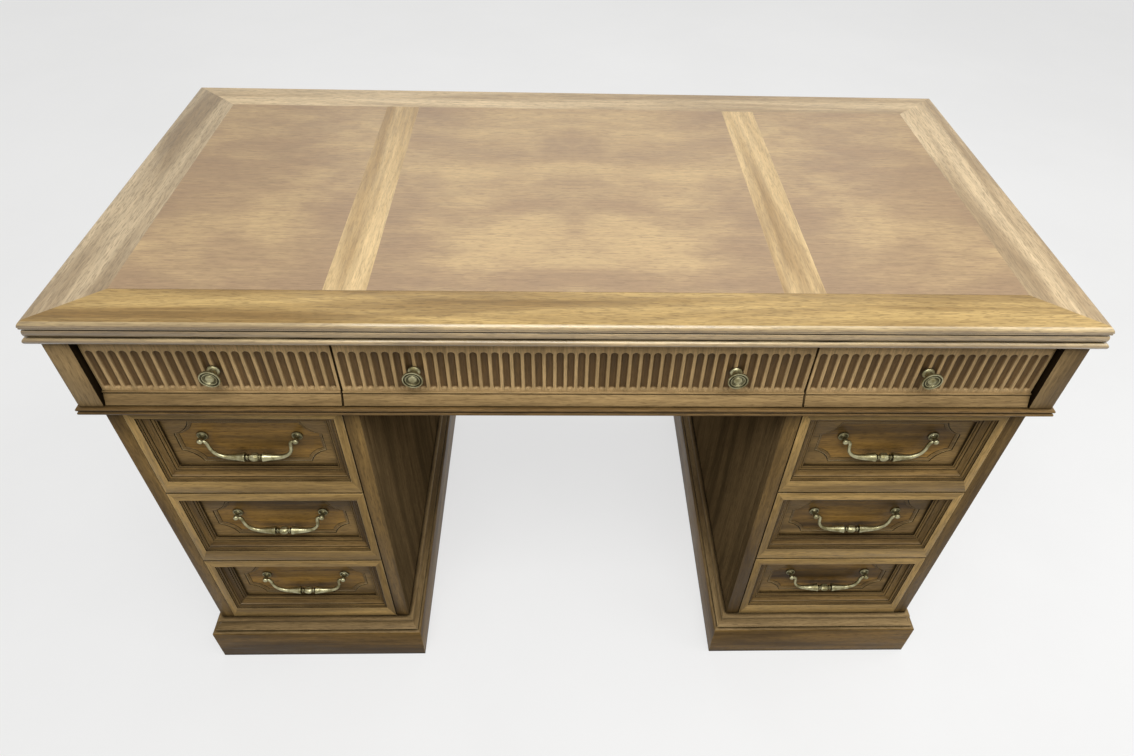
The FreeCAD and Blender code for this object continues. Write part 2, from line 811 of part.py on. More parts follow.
pull_seat = field_face + size.cartouche_depth
pivot_y = pull_seat - size.pull_reach
half_span = size.pull_span / 2
post_blank = turned("post_blank", POST_SIDES, [
    (ZERO, size.rosette_radius),
    (size.rosette_edge, size.rosette_radius),
    (size.rosette_height, size.pull_neck_flare),
    (size.pull_neck_foot, size.pull_neck_radius),
    (size.pull_reach - size.pull_ball_radius, size.pull_neck_radius),
    (size.pull_reach - size.pull_ball_shoulder, size.pull_ball_radius),
    (size.pull_reach + size.pull_ball_shoulder, size.pull_ball_radius),
    (size.pull_reach + size.pull_ball_radius, size.pull_ball_shoulder),
])
pivot_hole = doc.addObject("Part::Prism", "pivot_hole")
pivot_hole.Polygon = BAIL_SIDES
bind(pivot_hole, Circumradius=size.pivot_radius + size.pivot_clearance, Height=size.pull_ball_radius * 2)
place(pivot_hole, -size.pivot_clearance, ZERO, size.pull_reach, (0, 1, 0), 90)
pull_post = doc.addObject("Part::Cut", "pull_post")
pull_post.Base = post_blank
pull_post.Tool = pivot_hole


def bail_stations():
    """Centre, lean in degrees and radius of each section from the left pivot to the middle. A lean of 90
    points to the right and 180 straight down."""
    arm = half_span - size.pivot_inset
    elbow = size.bail_elbow
    elbow_middle = elbow * math.sin(math.pi / 4)
    bend_top = size.bail_bend - size.bail_drop
    bend_centre = size.bail_bend - arm
    stations = [
        (-half_span, ZERO, 90, size.pivot_radius),
        (-arm - elbow, ZERO, 90, size.pivot_radius),
        (elbow_middle - arm - elbow, elbow_middle - elbow, 135, size.bail_radius),
        (-arm, -elbow, 180, size.bail_radius),
    ]
    for step in range(4):
        turn = math.radians(30 * step)
        x = bend_centre - size.bail_bend * math.cos(turn)
        z = bend_top - size.bail_bend * math.sin(turn)
        stations.append((x, z, 180 - 30 * step, size.bail_radius))
    low = -size.bail_drop
    stations += [
        (-size.bail_flare_end, low, 90, size.bail_flare_radius),
        (size.bail_neck_step - size.bail_flare_end, low, 90, size.bail_neck_radius),
        (-size.bail_melon_half, low, 90, size.bail_neck_radius),
        (-size.bail_melon_shoulder, low, 90, size.bail_melon_radius),
    ]
    return stations


left_half = bail_stations()
right_half = [(-x, z, 180 - lean, radius) for x, z, lean, radius in reversed(left_half)]
bail = faceted("bail", BAIL_SIDES, left_half + right_half)


# The pedestal drawers and the fronts that each one carries. A file front is one panel with two frames.

drawers = (
    ("left_file", "left", ("lower", "middle")),
    ("left_upper", "left", ("upper",)),
    ("right_lower", "right", ("lower",)),
    ("right_middle", "right", ("middle",)),
    ("right_upper", "right", ("upper",)),
)
bail_places = ("lower", "upper")
runners = []
for label, side, levels in drawers:
    x_low, x_high = across(side, front_inner, front_outer)
    middle = (x_low + x_high) / 2
    foot = lowest_front + front_step * LEVELS.index(levels[0])
    height = front_step * len(levels) - size.front_gap
    steps = [front_step * index for index, _ in enumerate(levels)]
    panel = front_panel(f"{label}_panel", height, [cartouche_centre + step for step in steps])
    node(f"{label}_panel", place(panel, x_low, field_face, foot))

    frames = [copy_of(frame, middle, field_face, foot + step + front_height / 2, (1, 0, 0), 90)
              for step in steps]
    frames += [board("bridge", (x_low, front_face, foot + step - size.front_gap),
                     (x_high, field_face, foot + step)) for step in steps[1:]]
    node(f"{label}_frame", group(f"{label}_frame", frames))

    box_low, box_high = across(side, opening_inner + size.box_clearance, opening_outer - size.box_clearance)
    box_foot = foot + size.box_lift
    box_back = pedestal_inside - size.box_back_gap
    drawer_box(f"{label}_box", box_low, box_high, panel_back, box_back, box_foot,
               foot + height - size.box_head_gap)

    open_low, open_high = across(side, opening_inner, opening_outer)
    runner_head = box_foot - size.running_gap
    runner_foot = runner_head - size.runner_height
    for low, high in ((open_low, open_low + size.runner_width), (open_high - size.runner_width, open_high)):
        runners.append(board("runner", (low, panel_back + size.front_gap, runner_foot),
                             (high, pedestal_inside, runner_head)))

    pulls = []
    for index, step in enumerate(steps):
        pivot_z = foot + step + cartouche_centre + size.pull_rise
        pulls.append(copy_of(pull_post, middle - half_span, pull_seat, pivot_z, (1, 0, 0), 90))
        right_post = copy_of(pull_post, ZERO, ZERO, ZERO, (0, 0, 1), 180)
        pulls.append(copy_of(right_post, middle + half_span, pull_seat, pivot_z, (1, 0, 0), 90))
        bail_label = f"{label}_bail" if len(levels) == 1 else f"{label}_{bail_places[index]}_bail"
        node(bail_label, copy_of(bail, middle, pivot_y, pivot_z))
    node(f"{label}_pull_posts", group(f"{label}_pull_posts", pulls))
node("drawer_runners", group("drawer_runners", runners))


doc.recompute()
for item in doc.Objects:
    if {"Invalid", "Error"} & set(item.State):
        raise RuntimeError(f"{item.Label} did not build")
os.makedirs("parts", exist_ok=True)
for item in nodes:
    if item.Shape.isNull() or not item.Shape.isValid() or not item.Shape.Solids:
        raise RuntimeError(f"{item.Label} has no valid solid")
    solids = item.Shape.Solids
    shape = solids[0] if len(solids) == 1 else Part.makeCompound(solids)
    shape.exportStep(f"parts/{item.Label}.step")
print(len(nodes), "sub-parts written")
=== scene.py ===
"""A walnut kneehole desk with brass pulls, dressed over its CAD frame. Metres, +Z up, the front faces -Y."""

import math

import bpy
from mathutils import Matrix, Vector


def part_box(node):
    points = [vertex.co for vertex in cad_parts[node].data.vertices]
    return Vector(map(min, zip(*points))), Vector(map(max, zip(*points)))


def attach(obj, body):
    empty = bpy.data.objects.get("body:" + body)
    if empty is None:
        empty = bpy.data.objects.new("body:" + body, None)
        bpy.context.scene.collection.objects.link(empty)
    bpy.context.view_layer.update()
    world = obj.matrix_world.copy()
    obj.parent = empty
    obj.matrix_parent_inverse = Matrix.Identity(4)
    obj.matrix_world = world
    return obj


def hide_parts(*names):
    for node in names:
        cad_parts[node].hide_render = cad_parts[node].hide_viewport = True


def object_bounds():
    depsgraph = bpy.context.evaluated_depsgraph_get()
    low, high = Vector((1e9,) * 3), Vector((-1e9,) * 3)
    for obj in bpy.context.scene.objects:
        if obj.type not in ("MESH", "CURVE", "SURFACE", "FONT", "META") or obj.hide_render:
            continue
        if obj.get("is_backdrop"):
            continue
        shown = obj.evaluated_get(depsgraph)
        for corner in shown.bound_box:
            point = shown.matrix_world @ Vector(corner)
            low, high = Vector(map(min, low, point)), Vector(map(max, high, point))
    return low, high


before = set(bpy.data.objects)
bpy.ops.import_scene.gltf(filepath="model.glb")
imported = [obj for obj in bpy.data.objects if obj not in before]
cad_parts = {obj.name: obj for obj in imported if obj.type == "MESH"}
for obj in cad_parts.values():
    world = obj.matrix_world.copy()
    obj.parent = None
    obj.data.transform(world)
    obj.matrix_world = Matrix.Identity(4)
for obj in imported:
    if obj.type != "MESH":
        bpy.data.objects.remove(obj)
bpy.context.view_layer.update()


# Plinths: a walnut skirting round the foot of each pedestal, four lengths mitred at the corners.
# Each length is run with a rounded board edge, a quirk, a cove and a bead, and is glued to the case.

MM = 0.001
ARC_STEPS = 7
WELD = 0.01 * MM
SMOOTH_BELOW = math.radians(34)
ARRIS_ABOVE = math.radians(40)
ARRIS_SEGMENTS = 2


def add(tree, kind, inputs=None, **settings):
    """A shader node with its settings, and its inputs given as values or as sockets to link."""
    made = tree.nodes.new(kind)
    for key, value in settings.items():
        setattr(made, key, value)
    for key, value in (inputs or {}).items():
        if isinstance(value, bpy.types.NodeSocket):
            tree.links.new(value, made.inputs[key])
        else:
            made.inputs[key].default_value = value
    return made


def mixed(tree, share, first, second, mode="MIX"):
    """The second colour over the first, by a share."""
    inputs = {0: share, 6: first, 7: second}
    return add(tree, "ShaderNodeMix", inputs, data_type="RGBA", blend_type=mode).outputs[2]


def figured(tree, operation, first, second):
    """One step of arithmetic on two values."""
    return add(tree, "ShaderNodeMath", {0: first, 1: second}, operation=operation).outputs[0]


def spread(tree, value, low, high, to_low=0.0, to_high=1.0):
    """The value stretched from its own low and high to new ones, and held between them."""
    limits = {"Value": value, "From Min": low, "From Max": high, "To Min": to_low, "To Max": to_high}
    return add(tree, "ShaderNodeMapRange", limits, interpolation_type="SMOOTHSTEP").outputs[0]


def noise(tree, vector, waves, detail, roughness=0.55, distortion=0.0):
    """Noise at so many waves a metre along, across and through the grain."""
    scaled = add(tree, "ShaderNodeVectorMath", {0: vector, 1: waves}, operation="MULTIPLY").outputs[0]
    inputs = {
        "Vector": scaled, "Scale": 1.0, "Detail": detail, "Roughness": roughness, "Distortion": distortion,
    }
    return add(tree, "ShaderNodeTexNoise", inputs).outputs[0]


def patchy(tree, vector, waves, low, high, least=0.0, **kinds):
    """Noise whose low and high are stretched to a least value and to 1."""
    return spread(tree, noise(tree, vector, waves, **kinds), low, high, least)


def effect(name, takes, gives):
    """An empty node group with named sockets, its input node and its output node."""
    group = bpy.data.node_groups.new(name, "ShaderNodeTree")
    for label, kind in takes:
        group.interface.new_socket(label, in_out="INPUT", socket_type="NodeSocket" + kind)
    for label, kind in gives:
        group.interface.new_socket(label, in_out="OUTPUT", socket_type="NodeSocket" + kind)
    return group, group.nodes.new("NodeGroupInput").outputs, group.nodes.new("NodeGroupOutput").inputs


# Straight walnut grain along the vector's X: broad streaks or clouds, fine fibre, and short dark pores
FIBRE_WAVES = (24.0, 330.0, 330.0)
STREAK_WAVES = (2.0, 26.0, 26.0)
CLOUD_WAVES = (5.5, 9.0, 9.0)
PORE_WAVES = (80.0, 800.0, 800.0)
PORE_TINT = (0.6, 0.6, 0.6, 1.0)
FIBRE_HEIGHT = 0.4
GRAIN_ROUGHNESS = (0.32, 0.46)
grain_effect, takes, gives = effect(
    "walnut grain",
    [
        ("Vector", "Vector"), ("Pale", "Color"), ("Dark", "Color"),
        ("Cloud", "Float"), ("Fibre", "Float"), ("Pores", "Float"),
    ],
    [("Color", "Color"), ("Roughness", "Float"), ("Height", "Float")],
)
place = takes["Vector"]
fibre = patchy(grain_effect, place, FIBRE_WAVES, 0.28, 0.72, detail=4.0, roughness=0.7, distortion=0.1)
streak = patchy(grain_effect, place, STREAK_WAVES, 0.32, 0.68, detail=4.0, distortion=0.5)
cloud = patchy(grain_effect, place, CLOUD_WAVES, 0.38, 0.72, detail=5.0, roughness=0.58, distortion=0.25)
pore = patchy(grain_effect, place, PORE_WAVES, 0.52, 0.66, detail=1.0)
figure = mixed(grain_effect, takes["Cloud"], streak, cloud)
colour = mixed(grain_effect, figure, takes["Dark"], takes["Pale"])
swing = figured(grain_effect, "MULTIPLY", figured(grain_effect, "SUBTRACT", fibre, 0.5), takes["Fibre"])
colour = mixed(grain_effect, 1.0, colour, figured(grain_effect, "ADD", swing, 1.0), "MULTIPLY")
pore_mask = figured(grain_effect, "MULTIPLY", pore, takes["Pores"])
pore_colour = mixed(grain_effect, 1.0, takes["Dark"], PORE_TINT, "MULTIPLY")
raised = figured(grain_effect, "MULTIPLY", fibre, FIBRE_HEIGHT)
grain_effect.links.new(mixed(grain_effect, pore_mask, colour, pore_colour), gives["Color"])
grain_effect.links.new(spread(grain_effect, fibre, 0.0, 1.0, *GRAIN_ROUGHNESS), gives["Roughness"])
grain_effect.links.new(figured(grain_effect, "SUBTRACT", raised, pore_mask), gives["Height"])

# Lacquer rubbed thin along the arrises, in patches, and painted highlight on them as well. The limits are
# cosines of the turn at an arris
MASK_TAKES = [("Vector", "Vector"), ("Reach", "Float"), ("Amount", "Float")]
MASK_GIVES = [("Mask", "Float")]
WEAR_WAVES = (22.0, 60.0, 60.0)
WEAR_STARTS, WEAR_FULL = 0.98, 0.80
wear_effect, takes, gives = effect("rubbed arrises", MASK_TAKES, MASK_GIVES)
rounded = add(wear_effect, "ShaderNodeBevel", {"Radius": takes["Reach"]}, samples=6).outputs[0]
plain = add(wear_effect, "ShaderNodeNewGeometry").outputs["True Normal"]
turn = add(wear_effect, "ShaderNodeVectorMath", {0: rounded, 1: plain}, operation="DOT_PRODUCT")
arris = spread(wear_effect, turn.outputs["Value"], WEAR_STARTS, WEAR_FULL)
patches = patchy(wear_effect, takes["Vector"], WEAR_WAVES, 0.35, 0.65, least=0.35, detail=3.0)
rubbed_and_sheened = figured(wear_effect, "MULTIPLY", arris, patches)
wear_effect.links.new(figured(wear_effect, "MULTIPLY", rubbed_and_sheened, takes["Amount"]), gives["Mask"])

# Dark glaze and old polish left in quirks, coves and corners, with painted shade there too: the more shut in a
# place, the darker. The limits are how open a place is
GLAZE_WAVES = (12.0, 30.0, 30.0)
GLAZE_STARTS, GLAZE_FULL = 0.95, 0.45
glaze_effect, takes, gives = effect("settled glaze", MASK_TAKES, MASK_GIVES)
openness = add(glaze_effect, "ShaderNodeAmbientOcclusion", {"Distance": takes["Reach"]}, samples=8)
shut = spread(glaze_effect, openness.outputs["AO"], GLAZE_STARTS, GLAZE_FULL)
uneven = patchy(glaze_effect, takes["Vector"], GLAZE_WAVES, 0.3, 0.7, least=0.7, detail=4.0)
settled_and_shaded = figured(glaze_effect, "MULTIPLY", shut, uneven)
glaze_effect.links.new(figured(glaze_effect, "MULTIPLY", settled_and_shaded, takes["Amount"]), gives["Mask"])


def new_finish(name):
    """A new material, its node tree, its shader and the place that its patterns are read from."""
    finish = bpy.data.materials.new(name)
    finish.use_nodes = True
    tree = finish.node_tree
    return finish, tree, tree.nodes["Principled BSDF"], add(tree, "ShaderNodeTexCoord").outputs["Object"]


def laid_over(tree, colour, tint, mask_effect, vector, reach, amount):
    """The colour with a tint over it, as far as the effect's mask says."""
    inputs = {"Vector": vector, "Reach": reach, "Amount": amount}
    mask = add(tree, "ShaderNodeGroup", inputs, node_tree=mask_effect).outputs["Mask"]
    return mixed(tree, mask, colour, tint)


# The tint of settled glaze, and of the painted shade in corners and recesses
GLAZE_AND_SHADE = (0.016, 0.010, 0.004, 1.0)
GLAZE_AND_SHADE_REACH = 10 * MM
WEAR_REACH = 1.5 * MM
COAT_ROUGHNESS = 0.18
GRAIN_BUMP, GRAIN_RELIEF = 0.25, 0.3 * MM
STAIN = (0.31, 0.27, 0.23, 1.0)
# How far up a face turns before its stain gives way wholly, or not at all, to painted highlight
HIGHLIGHT_FULL_ABOVE, HIGHLIGHT_NONE_BELOW = 0.75, 0.25
BOOK_SHIFT = (0.0, 2.2, 2.0)
GRAIN_TURN = {
    "x": (0.0, 0.0, 0.0),
    "y": (0.0, 0.0, math.radians(-90)),
    "z": (0.0, math.radians(90), 0.0),
}


def walnut(
    name, along, pale, dark, worn_and_sheen, cloud=0.0, fibre=0.4, pores=0.4, glaze=0.9, wear=0.5,
    gloss=0.12, coat=0.0, sunk=None, matched=False,
):
    """A lacquered walnut whose grain runs along one axis of the desk.

    Sunk is the depth where a dark stain starts and ends; where it faces up it is taken off, as a painted
    highlight.
    Matched leaves mirror each other about the desk's middle.
    """
    finish, tree, lacquer, place = new_finish(name)
    lacquer.inputs["Specular IOR Level"].default_value = gloss
    lacquer.inputs["Coat Weight"].default_value = coat
    lacquer.inputs["Coat Roughness"].default_value = COAT_ROUGHNESS
    lengthwise = add(tree, "ShaderNodeMapping", {"Vector": place, "Rotation": GRAIN_TURN[along]}).outputs[0]
    if matched:
        moved = add(tree, "ShaderNodeVectorMath", {0: lengthwise, 1: BOOK_SHIFT}, operation="ADD").outputs[0]
        lengthwise = add(tree, "ShaderNodeVectorMath", {0: moved}, operation="ABSOLUTE").outputs[0]
    values = {"Pale": (*pale, 1.0), "Dark": (*dark, 1.0), "Cloud": cloud, "Fibre": fibre, "Pores": pores}
    grain = add(tree, "ShaderNodeGroup", {"Vector": lengthwise, **values}, node_tree=grain_effect)
    colour = grain.outputs["Color"]
    if sunk:
        depth = add(tree, "ShaderNodeSeparateXYZ", {0: place}).outputs["Y"]
        # Where the stained valley turns up, the stain gives way to a painted highlight
        normal = add(tree, "ShaderNodeNewGeometry").outputs["Normal"]
        upward = add(tree, "ShaderNodeSeparateXYZ", {0: normal}).outputs["Z"]
        unhighlighted = spread(tree, upward, HIGHLIGHT_FULL_ABOVE, HIGHLIGHT_NONE_BELOW)
        stained = figured(tree, "MULTIPLY", spread(tree, depth, *sunk), unhighlighted)
        colour = mixed(tree, stained, colour, mixed(tree, 1.0, colour, STAIN, "MULTIPLY"))
    # Settled glaze and painted shade, darker where a place is shut in
    colour = laid_over(tree, colour, GLAZE_AND_SHADE, glaze_effect, lengthwise, GLAZE_AND_SHADE_REACH, glaze)
    # Rubbed arrises, paler both from real wear and as painted highlight
    colour = laid_over(tree, colour, (*worn_and_sheen, 1.0), wear_effect, lengthwise, WEAR_REACH, wear)
    relief = {"Strength": GRAIN_BUMP, "Distance": GRAIN_RELIEF, "Height": grain.outputs["Height"]}
    tree.links.new(colour, lacquer.inputs["Base Color"])
    tree.links.new(grain.outputs["Roughness"], lacquer.inputs["Roughness"])
    tree.links.new(add(tree, "ShaderNodeBump", relief).outputs[0], lacquer.inputs["Normal"])
    return finish


def moulding_walnuts(tones, worn_and_sheen, **values):
    """A walnut along X and one along Y for each tone of (name, pale, dark)."""
    return [
        walnut(f"{name}_walnut_{along}", along, pale, dark, worn_and_sheen, **values)
        for name, pale, dark in tones
        for along in ("x", "y")
    ]


def arc(start, end, rise):
    """Points between two corners of an outline, on an arc that swells to the right by its rise."""
    start, end = Vector(start), Vector(end)
    half = (end - start).length / 2
    run = (end - start) / (2 * half)
    swell = Vector((run.y, -run.x)) * (1 if rise > 0 else -1)
    radius = (half * half + rise * rise) / (2 * abs(rise))
    reach = math.atan2(half, radius - abs(rise))
    middle = (start + end) / 2 + swell * (abs(rise) - radius)
    angles = [reach * (2 * step / ARC_STEPS - 1) for step in range(1, ARC_STEPS)]
    return [middle + run * radius * math.sin(angle) + swell * radius * math.cos(angle) for angle in angles]


def outline(corners):
    """Corners as (across, up), or with a third number that makes the edge to the next corner an arc."""
    points = []
    for here, there in zip(corners, corners[1:] + corners[:1]):
        points.append(Vector(here[:2]))
        if len(here) == 3:
            points.extend(arc(here[:2], there[:2], here[2]))
    return points


def pick(piece):
    """The piece alone selected and active."""
    bpy.ops.object.select_all(action="DESELECT")
    piece.select_set(True)
    bpy.context.view_layer.objects.active = piece


def traced(name, points):
    """A closed loop of edges through the points, made from a circle."""
    bpy.ops.object.select_all(action="DESELECT")
    bpy.ops.mesh.primitive_circle_add(vertices=len(points), radius=MM)
    loop = bpy.context.object
    loop.name = name
    for vertex, point in zip(loop.data.vertices, points):
        vertex.co = point
    return loop


def start_shaping():
    """Edit mode on the active piece, with all of it selected."""
    bpy.ops.object.mode_set(mode="EDIT")
    bpy.ops.mesh.select_all(action="SELECT")


def end_shaping():
    """Faces turned outwards, and back to object mode."""
    bpy.ops.mesh.select_all(action="SELECT")
    bpy.ops.mesh.normals_make_consistent(inside=False)
    bpy.ops.object.mode_set(mode="OBJECT")


def mitred_ring(loop, middle, flips):
    """The loop's section carried round a rectangle by mirroring it from corner to corner."""
    start_shaping()
    for flip in flips * 2:
        bpy.ops.mesh.extrude_edges_indiv()
        bpy.ops.transform.resize(value=flip, center_override=middle)
    bpy.ops.mesh.select_all(action="SELECT")
    bpy.ops.mesh.remove_doubles(threshold=WELD)
    end_shaping()
    return loop


def moulded_round(name, node, corners):
    """An outline, in millimetres in from the node's sides and up, run round its box and mitred."""
    low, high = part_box(node)
    section = [(low.x + u * MM, low.y + u * MM, low.z + v * MM) for u, v in outline(corners)]
    return mitred_ring(traced(name, section), (low + high) / 2, [(-1, 1, 1), (1, -1, 1)])


def smooth(piece):
    """Shaded smooth, apart from its sharp arrises."""
    pick(piece)
    bpy.ops.object.shade_smooth_by_angle(angle=SMOOTH_BELOW)


def soften(piece, width):
    """Sharp arrises taken off, and the rest shaded smooth."""
    pick(piece)
    arris = piece.modifiers.new("arris", "BEVEL")
    arris.width = width
    arris.segments = ARRIS_SEGMENTS
    arris.limit_method = "ANGLE"
    arris.angle_limit = ARRIS_ABOVE
    bpy.ops.object.modifier_apply(modifier="arris")
    smooth(piece)


def finished(piece, *finishes):
    """The piece's finishes, in the order that its faces count them."""
    for finish in finishes:
        piece.data.materials.append(finish)


def grain_by_length(piece, middle, half, axes=(0, 1)):
    """The first finish on the lengths that run along the first axis, the second on the other two."""
    for face in piece.data.polygons:
        near = [half[axis] - abs(face.center[axis] - middle[axis]) for axis in axes]
        face.material_index = 0 if near[1] < near[0] else 1


def fitted(piece, body, slot, *nodes):
    """The piece moves with its body, and stands for the nodes."""
    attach(piece, body)
    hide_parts(*nodes)


def copied(piece, name, offset):
    """Another of the piece, with its own mesh, moved along."""
    pick(piece)
    bpy.ops.object.duplicate()
    twin = bpy.context.object
    twin.name = name
    twin.location = offset
    bpy.ops.object.transform_apply(location=True, rotation=True, scale=True)
    return twin


SKIRT_PALE = (0.310, 0.182, 0.054)
SKIRT_DARK = (0.090, 0.050, 0.0145)
COVE_PALE = (0.360, 0.247, 0.115)
COVE_DARK = (0.150, 0.096, 0.040)
# Pale arrises, bright enough to stand for painted highlight lines as well as wear
EDGE_WORN_AND_SHEEN = (0.620, 0.480, 0.260)
SKIRT_HEAD = 74 * MM
PLINTH_ARRIS = 0.6 * MM
PLINTH_OUTLINE = [
    (19, 0), (19, 100), (13, 100, 1.6), (13, 93), (15, 93, -3), (5, 79),
    (5, 77), (7, 77), (7, 75.5), (3.5, 75.5, 1.03), (0, 72), (0, 0),
]
plinth_tones = (("skirt", SKIRT_PALE, SKIRT_DARK), ("cove", COVE_PALE, COVE_DARK))
low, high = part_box("left_plinth")
plinth = moulded_round("left_plinth_moulding", "left_plinth", PLINTH_OUTLINE)
soften(plinth, PLINTH_ARRIS)
finished(plinth, *moulding_walnuts(plinth_tones, EDGE_WORN_AND_SHEEN, glaze=1.0, wear=1.0, gloss=0.05))
grain_by_length(plinth, (low + high) / 2, (high - low) / 2)
for face in plinth.data.polygons:
    if face.center.z > SKIRT_HEAD:
        face.material_index += 2
other = copied(plinth, "right_plinth_moulding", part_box("right_plinth")[0] - low)
fitted(plinth, "carcass", "walnut", "left_plinth")
fitted(other, "carcass", "walnut", "right_plinth")


# Pedestal cases: plain walnut sides with upright grain, and a face frame of two stiles and two rails.
# Boards are planed square with the arrises eased, then glued and screwed to the floor and back.


def board(low, high):
    """A squared board between two corners."""
    bpy.ops.object.select_all(action="DESELECT")
    bpy.ops.mesh.primitive_cube_add(size=1, location=(Vector(low) + Vector(high)) / 2)
    piece = bpy.context.object
    piece.scale = Vector(high) - Vector(low)
    bpy.ops.object.transform_apply(location=True, rotation=True, scale=True)
    return piece


def joined(name, pieces):
    """Several pieces made one, with the materials of each."""
    bpy.ops.object.select_all(action="DESELECT")
    for piece in pieces:
        piece.select_set(True)
    bpy.context.view_layer.objects.active = pieces[0]
    bpy.ops.object.join()
    pieces[0].name = name
    return pieces[0]


def refinish(node, finish):
    """A CAD node that stays as it is, with a better finish."""
    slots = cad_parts[node].data.materials
    slots.clear()
    slots.append(finish)


CASE_PALE = (0.300, 0.186, 0.063)
CASE_DARK = (0.092, 0.054, 0.017)
CASE_WORN = (0.380, 0.270, 0.130)
TIMBER_PALE = (0.420, 0.300, 0.170)
TIMBER_DARK = (0.250, 0.160, 0.080)
# Sides darker than the case, as painted shade, also on the face boards' side faces
SHADED_SIDE_PALE = (0.265, 0.175, 0.080)
SHADED_SIDE_DARK = (0.150, 0.100, 0.046)
FACE_PALE = (0.290, 0.178, 0.060)
FACE_DARK = (0.092, 0.053, 0.017)
case_finish = {}
timber_finish = {}
for along in GRAIN_TURN:
    case_finish[along] = walnut("case_walnut_" + along, along, CASE_PALE, CASE_DARK, CASE_WORN)
    timber_finish[along] = walnut(
        "drawer_timber_" + along, along, TIMBER_PALE, TIMBER_DARK, TIMBER_PALE, pores=0.2, glaze=0.5, wear=0.0
    )
shaded_side_finish = walnut("side_walnut_painted_shade", "z", SHADED_SIDE_PALE, SHADED_SIDE_DARK, CASE_WORN, wear=0.1, gloss=0.0)
face_finish = {
    along: walnut("face_walnut_" + along, along, FACE_PALE, FACE_DARK, CASE_WORN) for along in ("x", "z")
}
STILE = 20 * MM
TOP_RAIL = 8 * MM
FOOT_RAIL_FOOT, FOOT_RAIL_HEAD = 82 * MM, 100 * MM
BOARD_ARRIS = 0.8 * MM
SQUARE_ON = 0.9
low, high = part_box("left_outer_side")
panel = board(low, high)
panel.name = "left_outer_side_board"
soften(panel, BOARD_ARRIS)
finished(panel, shaded_side_finish)
for node in ("left_inner_side", "right_inner_side", "right_outer_side"):
    fitted(copied(panel, node + "_board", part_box(node)[0] - low), "carcass", "walnut", node)
fitted(panel, "carcass", "walnut", "left_outer_side")

low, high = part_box("left_face_frame")
stiles = [board(low, (low.x + STILE, high.y, high.z)), board((high.x - STILE, low.y, low.z), high)]
rails = [
    board((low.x + STILE, low.y, high.z - TOP_RAIL), (high.x - STILE, high.y, high.z)),
    board((low.x + STILE, low.y, FOOT_RAIL_FOOT), (high.x - STILE, high.y, FOOT_RAIL_HEAD)),
]
for pieces, along in ((stiles, "z"), (rails, "x")):
    for piece in pieces:
        soften(piece, BOARD_ARRIS)
        finished(piece, face_finish[along])
boards = joined("left_face_boards", stiles + rails)
finished(boards, shaded_side_finish)
# The face boards' side faces take the darker side tone, a painted shade
for face in boards.data.polygons:
    if abs(face.normal.x) > SQUARE_ON:
        face.material_index = len(boards.data.materials) - 1
other = copied(boards, "right_face_boards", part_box("right_face_frame")[0] - low)
fitted(boards, "carcass", "walnut", "left_face_frame")
fitted(other, "carcass", "walnut", "right_face_frame")
for side in ("left", "right"):
    refinish(side + "_pedestal_back", case_finish["z"])
    refinish(side + "_pedestal_floor", timber_finish["y"])
refinish("drawer_runners", timber_finish["y"])


# Waist: a thin walnut moulding of two reeds round the whole desk, on the edge of the frieze's floor board.
# It covers the joint between the pedestals and the frieze, and is mitred at the corners.

WAIST_PALE = (0.240, 0.145, 0.052)
WAIST_DARK = (0.080, 0.046, 0.016)
WAIST_ARRIS = 0.3 * MM
WAIST_OUTLINE = [(24, 0), (24, 11), (2, 11, 2), (2, 6.1), (3.2, 6.1), (3.2, 4.9), (2, 4.9, 2), (2, 0)]
low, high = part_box("waist_moulding")
waist = moulded_round("waist_reeds", "waist_moulding", WAIST_OUTLINE)
soften(waist, WAIST_ARRIS)
finished(waist, *moulding_walnuts([("waist", WAIST_PALE, WAIST_DARK)], CASE_WORN, wear=0.7))
grain_by_length(waist, (low + high) / 2, (high - low) / 2)
fitted(waist, "carcass", "walnut_banding", "waist_moulding")
refinish("frieze_floor", timber_finish["x"])


# Frieze case: square walnut posts at the corners, with ends and a back housed between them.
# Two inside dividers part the three drawers. The posts' inner faces, beside the drawers, are near black with
# painted shade.

POST = 30 * MM
POST_ARRIS = 1.2 * MM
POST_PALE = (0.390, 0.262, 0.118)
POST_DARK = (0.170, 0.108, 0.045)
# Near-black painted shade for the posts' inner faces beside the drawers
JAMB_SHADE_PALE = (0.022, 0.014, 0.007)
JAMB_SHADE_DARK = (0.010, 0.006, 0.003)
low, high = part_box("frieze_posts")
post = board(low, (low.x + POST, low.y + POST, high.z))
soften(post, POST_ARRIS)
finished(
    post,
    walnut("post_walnut", "z", POST_PALE, POST_DARK, CASE_WORN),
    walnut("jamb_painted_shade", "z", JAMB_SHADE_PALE, JAMB_SHADE_DARK, JAMB_SHADE_PALE, gloss=0.02),
)
across, through = high.x - POST - low.x, high.y - POST - low.y
offsets = ((across, 0, 0), (0, through, 0), (across, through, 0))
posts = [post] + [copied(post, "post", offset) for offset in offsets]
# The posts' inner faces take the near-black painted shade
for post in posts:
    for face in post.data.polygons:
        if face.normal.x * face.center.x < 0 and abs(face.normal.x) > SQUARE_ON:
            face.material_index = 1
fitted(joined("frieze_corner_posts", posts), "carcass", "walnut", "frieze_posts")
for node, along in (("frieze_left_end", "y"), ("frieze_right_end", "y"), ("frieze_back", "x")):
    rail = board(*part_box(node))
    rail.name = node + "_board"
    soften(rail, BOARD_ARRIS)
    finished(rail, case_finish[along])
    fitted(rail, "carcass", "walnut", node)
refinish("frieze_dividers", timber_finish["y"])


# Top: a core board faced with three cloudy walnut fields and two cross bands, inside a mitred border.
# The border's edge is worked with a rounded arris, two quirked beads and a bull nose underneath.

